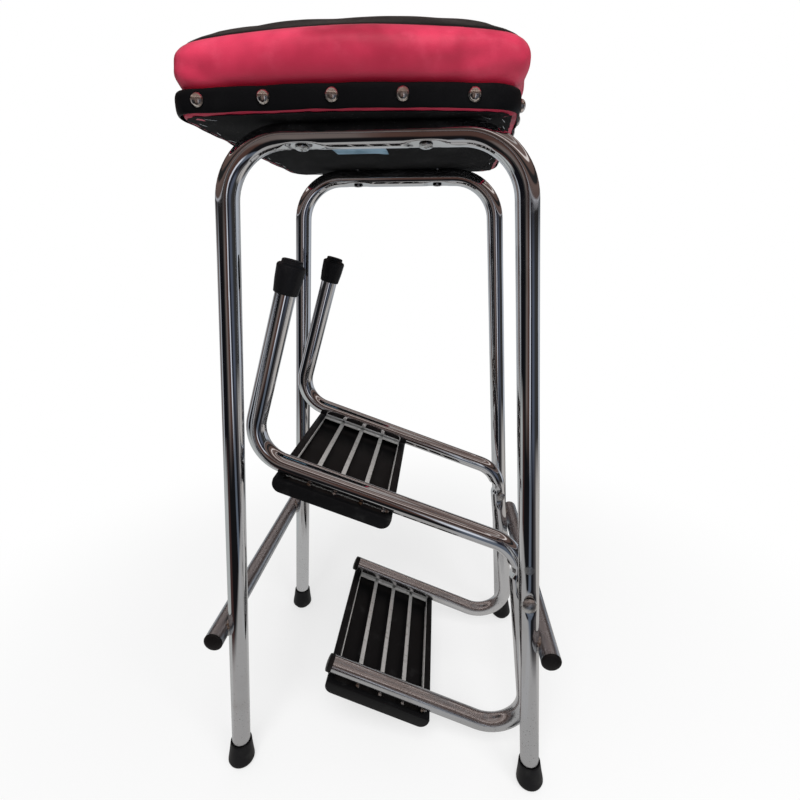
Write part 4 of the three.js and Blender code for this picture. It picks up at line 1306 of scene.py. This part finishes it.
def cushionShape(point):
    reach, away = edgeReach(point)
    edge = smoothStep(1 + reach / cushion["edge"])
    across = min(abs(point.x) / seat["halfWidth"], 1)
    along = min(abs(point.y) / seat["halfDepth"], 1)
    drop = cushion["cornerDrop"] * (across * along) ** 2
    point.z -= comeIn(point.z, drop, *cushion["dropOver"])
    seam = cushion["seam"] - drop
    groove = 1 - abs(point.z - seam) / cushion["seamWidth"]
    push = cushion["seamDepth"] * smoothStep(groove) if groove > 0 else 0
    for middle, heading, length, width, depth in sideFolds:
        offset = point - Vector(middle)
        if offset.length > length + cushion["foldPast"]:
            continue
        heading = Vector(heading).normalized()
        run = offset.dot(heading)
        beside = (offset - heading * run).z
        ridge = math.exp(-(beside / width) ** 2) * smoothStep(1.15 - abs(run) / length)
        push += depth * ridge
    ripple = sum(noise.noise(point * scale) * size for scale, size in cushion["ripples"])
    # the block leans out over the band, more so on the right
    out = comeIn(point.z, *cushion["overhang"])
    right = comeIn(point.z, *cushion["rightOverhang"])
    right *= smoothStep(2 * point.x / seat["halfWidth"] - 1)
    up = comeIn(point.z, *cushion["lift"]) + comeIn(point.z, *cushion["crownLift"])
    shift = Vector((right, 0, up + ripple * (1 - edge) * 0.3))
    return point + away * (out - push - ripple) * edge + shift


def inflate(piece):
    # the cover blown out by its filling, held at the board
    capped = [vertex.co.copy() for vertex in piece.data.vertices]
    held = piece.vertex_groups.new(name="held")
    for vertex in piece.data.vertices:
        held.add([vertex.index], 1.0 if vertex.co.z < cushion["pinBelow"] else 0.0, "REPLACE")
    cloth = piece.modifiers.new("cloth", "CLOTH")
    cloth.settings.use_pressure = True
    cloth.settings.uniform_pressure_force = cushion["pressure"]
    cloth.settings.vertex_group_mass = "held"
    cloth.settings.effector_weights.gravity = 0
    cloth.settings.quality = 6
    cloth.settings.bending_stiffness = cushion["stiffness"]
    cloth.point_cache.frame_start = 1
    cloth.point_cache.frame_end = cushion["frames"]
    for frameNumber in range(1, cushion["frames"] + 1):
        scene.frame_set(frameNumber)
    applyModifiers(piece)
    scene.frame_set(1)
    for vertex, before in zip(piece.data.vertices, capped):
        moved = vertex.co - before
        if moved.length > cushion["swell"]:
            vertex.co = before + moved.normalized() * cushion["swell"]
    piece.vertex_groups.clear()


def makeCushion():
    block = outlineRings("cushionBlock", cushion, True)
    addModifier(block, "REMESH", mode="VOXEL", voxel_size=cushion["voxel"])
    applyModifiers(block)
    inflate(block)
    addModifier(block, "SMOOTH", factor=0.5, iterations=12)
    addModifier(block, "SUBSURF", levels=1, render_levels=1)
    applyModifiers(block)
    for name, top, finish, stands in (
            ("seatBoxing", False, "crimson", ["seat_side_cover", "seat_foam"]),
            ("seatTopPanel", True, "black", ["seat_top_cover"])):
        piece = copyPiece(block, name)
        edit(piece)
        bpy.ops.mesh.bisect(plane_co=(0, 0, cushion["seam"]), plane_no=(0, 0, 1), use_fill=True,
                            clear_inner=top, clear_outer=not top)
        endEdit()
        moveVertices(piece, lambda point: seatShape(cushionShape(point)))
        placeAt(piece, seatFrame)
        finishPiece(piece, stoolBody, finish, stands)
    bpy.data.objects.remove(block)


makeCushion()
print("cushion ready")


def makeBoard():
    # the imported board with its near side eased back; its rim shows the side cover's colour
    piece = copyPiece(nodes["seat_board"], "seatBoardPly")
    edit(piece)
    bpy.ops.mesh.remove_doubles(threshold=1e-6)
    bpy.ops.mesh.dissolve_limited(angle_limit=math.radians(1))
    endEdit()
    inverse = seatFrame.inverted()
    moveVertices(piece, lambda point: seatFrame @ settleCorner(inverse @ point))
    softenEdges(piece, 0.0008, 2)
    finishPiece(piece, stoolBody, "board", ["seat_board"])


makeBoard()


# Cover tucked under the board, trim band and nails

tuck = {
    "start": (0.0014, 0.7568),
    "rows": [(0.0016, 0.7520), (0.0017, 0.7420), (0.0012, 0.7401), (-0.0004, 0.7392),
             (-0.0060, 0.7389), (-0.0120, 0.7389), (-0.0185, 0.7391)],
    "thickness": 0.0008, "gather": 0.0009, "gatherReach": 0.035, "folds": 90,
    "underFrom": 0.7402, "wave": 0.0003,
}
band = {
    "start": (0.0024, 0.7389),
    "rows": [(0.0031, 0.7392), (0.0040, 0.7407), (0.0045, 0.7438), (0.0046, 0.7470),
             (0.0046, 0.7500), (0.0045, 0.7530), (0.0041, 0.7556), (0.0034, 0.7573),
             (0.0025, 0.7579)],
    "thickness": 0.0011, "dentDepth": 0.0015, "dentReach": 0.013, "cornerOut": 0.0026,
    "cornerReach": 0.032, "wave": 0.0006, "uneven": 0.0004,
}
nail = {
    "count": 21, "start": -0.007, "height": 0.7487, "out": 0.0036, "radius": 0.0056,
    "rise": 0.0042, "shank": 0.0011, "hammer": 0.0002,
}


def outlineWalk(out, step=0.0005):
    # points along the grown outline, from the start of the near right corner
    hx, hy, r = seat["halfWidth"] + out, seat["halfDepth"] + out, seat["cornerRadius"] + out
    path = []
    for x, y, begin in ((hx - r, -hy + r, -90), (hx - r, hy - r, 0), (-hx + r, hy - r, 90),
                        (-hx + r, -hy + r, 180)):
        for i in range(25):
            angle = math.radians(begin + 90 * i / 24)
            path.append(Vector((x + r * math.cos(angle), y + r * math.sin(angle), 0)))
    path.append(path[0].copy())
    fine = []
    for first, second in zip(path, path[1:]):
        count = max(1, int((second - first).length / step))
        fine += [first.lerp(second, i / count) for i in range(count)]
    return fine


def nailSpots():
    # for each nail its place on the outline, its place on the seat, and the way out
    walk = outlineWalk(nail["out"])
    near = [i for i, p in enumerate(walk) if p.y < -seat["halfDepth"] * 0.98]
    first = min(near, key=lambda i: abs(walk[i].x - nail["start"]))
    walk = walk[first:] + walk[:first]
    lengths = [0]
    for before, after in zip(walk, walk[1:] + walk[:1]):
        lengths.append(lengths[-1] + (after - before).length)
    spots = []
    for k in range(nail["count"]):
        target = lengths[-1] * k / nail["count"]
        i = min(range(len(walk)), key=lambda j: abs(lengths[j] - target))
        before, after = (seatShape(walk[j % len(walk)].copy()) for j in (i - 6, i + 6))
        away = Vector((after.y - before.y, before.x - after.x, 0)).normalized()
        spots.append((walk[i], seatShape(walk[i].copy()), away))
    return spots


nailsAt = nailSpots()


def bandShape(point):
    _, away = edgeReach(point)
    flat = Vector((point.x, point.y, 0))
    near = min((flat - spot).length for spot, _, _ in nailsAt)
    dent = band["dentDepth"] * smoothStep(1.2 - near / band["dentReach"])
    corner = Vector((-seat["halfWidth"], -seat["halfDepth"], 0))
    proud = band["cornerOut"] * smoothStep(1 - (flat - corner).length / band["cornerReach"])
    low = (point.z - band["start"][1]) / (band["rows"][-1][1] - band["start"][1])
    point.z += noise.noise(point * 60) * band["wave"] * (1.2 - low)
    return point + away * (proud - dent + noise.noise(point * 35 + away) * band["uneven"])


def tuckShape(point):
    # gathered in small folds under the board, most at the corners
    under = smoothStep((tuck["underFrom"] - point.z) / 0.001)
    corner = math.hypot(abs(point.x) - seat["halfWidth"], abs(point.y) - seat["halfDepth"])
    bunch = smoothStep(1.3 - corner / tuck["gatherReach"])
    turn = math.atan2(point.y, point.x) * tuck["folds"]
    point.z -= under * (0.2 + bunch) * tuck["gather"] * 0.5 * (1 + math.sin(turn))
    point.z += under * noise.noise(point * 90) * tuck["wave"]
    return point


def makeCover(name, values, shape, finish, stands, rounds):
    piece = outlineRings(name, values)
    moveVertices(piece, lambda point: seatShape(shape(point)))
    addModifier(piece, "SOLIDIFY", thickness=values["thickness"], offset=-1)
    if rounds:
        addModifier(piece, "SUBSURF", levels=rounds, render_levels=rounds)
    placeAt(piece, seatFrame)
    finishPiece(piece, stoolBody, finish, stands)


makeCover("seatTuck", tuck, tuckShape, "crimson", [], 0)
makeCover("seatTrimBand", band, bandShape, "black", ["seat_band"], 1)
print("covers ready")


def makeNails():
    radius, rise = nail["radius"], nail["rise"]
    profile = [(nail["shank"] * 0.3, -0.011), (nail["shank"], -0.008), (nail["shank"], 0),
               (radius * 0.93, 0), (radius, 0.0003), (radius * 0.99, 0.0009),
               *domeProfile(radius * 0.95, rise - 0.0009, 0.0009, 6)]
    model = turnedPiece("nailHead", profile, 28)
    addModifier(model, "SUBSURF", levels=1, render_levels=1)
    applyModifiers(model)
    picker = random.Random(21)
    for k, (_, spot, away) in enumerate(nailsAt, 1):
        piece = copyPiece(model, f"seatNail{k:02d}")
        seed = Vector([picker.uniform(-50, 50) for _ in range(3)])
        for vertex in piece.data.vertices:
            if vertex.co.z > 0.0006:
                vertex.co += vertex.normal * noise.noise(vertex.co * 150 + seed) * nail["hammer"]
        tilt = Vector([picker.uniform(-0.05, 0.05) for _ in range(3)])
        place = standUp(spot + Vector((0, 0, nail["height"])), away + tilt)
        placeAt(piece, seatFrame @ place)
        finishPiece(piece, stoolBody, "nail", [f"seat_nail_{k:02d}"])
    bpy.data.objects.remove(model)


makeNails()
print("nails ready")


# Under the seat: cloth, its staples, the bare label and the four screws

under = {
    "inset": 0.0042, "height": 0.7384, "thickness": 0.0005, "ragged": 0.0022, "cuts": 60,
    "wave": 0.0002, "cornerCut": (0.07, 0.06),  # shares of the half width and half depth
}
label = {
    "low": (-0.061, -0.033), "high": (-0.001, 0.012), "height": 0.73775, "cuts": (12, 10),
    "turn": math.radians(2), "thickness": 0.0002, "curl": 0.0012, "curlReach": 0.016,
}
staple = {
    "length": 0.010, "wire": 0.00035, "height": 0.7380, "prong": 0.0028, "bend": 0.0008,
    "spacing": 0.0305, "farSpacing": 0.038, "turn": 22,
}


def makeUnderCloth():
    hx, hy = seat["halfWidth"] - under["inset"], seat["halfDepth"] - under["inset"]
    cutX, cutY = under["cornerCut"]
    piece = addShape("grid", "seatUnderCloth", (2 * hx, 2 * hy, 1), size=1,
                     x_subdivisions=under["cuts"], y_subdivisions=under["cuts"],
                     location=(0, 0, under["height"]))

    def lay(point):
        edgeX, edgeY = abs(point.x) / hx, abs(point.y) / hy
        uneven = noise.noise(point * 45) + 0.5 * noise.noise(point * 130)
        uneven *= under["ragged"]
        point.x += math.copysign(uneven * smoothStep((edgeX - 0.9) * 10), point.x)
        point.y += math.copysign(uneven * smoothStep((edgeY - 0.9) * 10), point.y)
        # corners cut off
        spare = (edgeX - 1) / cutX + (edgeY - 1) / cutY + 1
        if spare > 0:
            point.x -= math.copysign(spare * 0.5 * cutX * hx, point.x)
            point.y -= math.copysign(spare * 0.5 * cutY * hy, point.y)
        pressed = smoothStep((max(edgeX, edgeY) - 0.9) * 10)
        point.z += (noise.noise(point * 30) - pressed) * under["wave"]
        return seatShape(point)

    moveVertices(piece, lay)
    addModifier(piece, "SOLIDIFY", thickness=under["thickness"], offset=0)
    placeAt(piece, seatFrame)
    finishPiece(piece, stoolBody, "cloth", ["seat_dust_cover"])


makeUnderCloth()


def makeLabel():
    low, high = Vector(label["low"]), Vector(label["high"])
    middle, size = (low + high) / 2, high - low
    piece = addShape("grid", "bareLabel", (*size, 1), size=1, x_subdivisions=label["cuts"][0],
                     y_subdivisions=label["cuts"][1], location=(*middle, label["height"]))
    edit(piece)
    bpy.ops.transform.rotate(value=label["turn"], orient_axis="Z", center_override=(*middle, 0))
    endEdit()

    def lay(point):
        # one corner has come loose
        curl = smoothStep(1 - (point.to_2d() - high).length / label["curlReach"])
        point.z += noise.noise(point * 60) * 0.0001 - label["curl"] * curl
        return point

    moveVertices(piece, lay)
    addModifier(piece, "SOLIDIFY", thickness=label["thickness"], offset=0)
    finishPiece(piece, stoolBody, "label")


makeLabel()


def stapleModel():
    half, bend, prong = staple["length"] / 2, staple["bend"], staple["prong"]
    model = addShape("circle", "stapleModel", vertices=8, radius=staple["wire"],
                     fill_type="NGON", location=(-half, 0, prong))
    edit(model, "FACE")
    pushOut((0, 0, bend - prong))
    for x, push in ((bend - half, (2 * half - 2 * bend, 0, 0)),
                    (half - bend, (0, 0, prong - bend))):
        bpy.ops.mesh.spin(steps=4, angle=quarterTurn, center=(x, 0, bend), axis=(0, 1, 0))
        pushOut(push)
    endShell()
    return model


def makeStaples():
    model = stapleModel()
    picker = random.Random(8)
    hx, hy = seat["halfWidth"], seat["halfDepth"]
    rows = []
    for i in range(8):
        rows += [(-hx + 0.0075, -0.128 + i * staple["spacing"], 90),
                 (hx - 0.0085, -0.118 + i * staple["spacing"], 90)]
    rows += [(-0.105 + i * staple["farSpacing"], hy - 0.012, 0) for i in range(6)]
    rows += [(-0.118, -hy + 0.016, 30), (0.118, -hy + 0.034, 60)]
    for k, (x, y, angle) in enumerate(rows, 1):
        piece = copyPiece(model, f"staple{k:02d}")
        turn = math.radians(angle + picker.uniform(-staple["turn"], staple["turn"]))
        x += picker.uniform(-0.002, 0.002)
        y += picker.uniform(-0.004, 0.004)
        spot = Matrix.Translation((x, y, staple["height"] - picker.uniform(0, 0.0004)))
        placeAt(piece, seatFrame @ spot @ Matrix.Rotation(turn, 4, "Z"))
        finishPiece(piece, stoolBody, "staple")
    bpy.data.objects.remove(model)


makeStaples()

screw = {
    "radius": 0.0062, "base": 0.7176, "rise": 0.0020, "shank": 0.0021, "top": 0.7500,
    "driveRadius": 0.0016, "driveDepth": 0.0005, "lean": 0.2,
}


def makeScrews():
    # made head up, then turned over
    radius, shank, rise, drive = (screw[key] for key in (
        "radius", "shank", "rise", "driveRadius"))
    low = screw["base"] - screw["top"]
    profile = [(shank * 0.4, low), (shank, low + 0.004), (shank, 0), (radius * 0.98, 0),
               (radius, 0.0004), *domeProfile(radius, rise - 0.0008, 0.0008, 5)[:-1],
               (drive * 1.1, rise), (drive * 0.8, rise - screw["driveDepth"])]
    model = turnedPiece("screwModel", profile, 24)
    for side, node, end, flank in legs:
        piece = copyPiece(model, f"{side}Screw")
        spot = screwSpot(flank, end)
        placeAt(piece, standUp((spot.x, spot.y, screw["base"]), (0, end * screw["lean"], -1)))
        finishPiece(piece, stoolBody, "staple", [f"seat_screw_{node}"])
    bpy.data.objects.remove(model)


makeScrews()
print("seat ready")
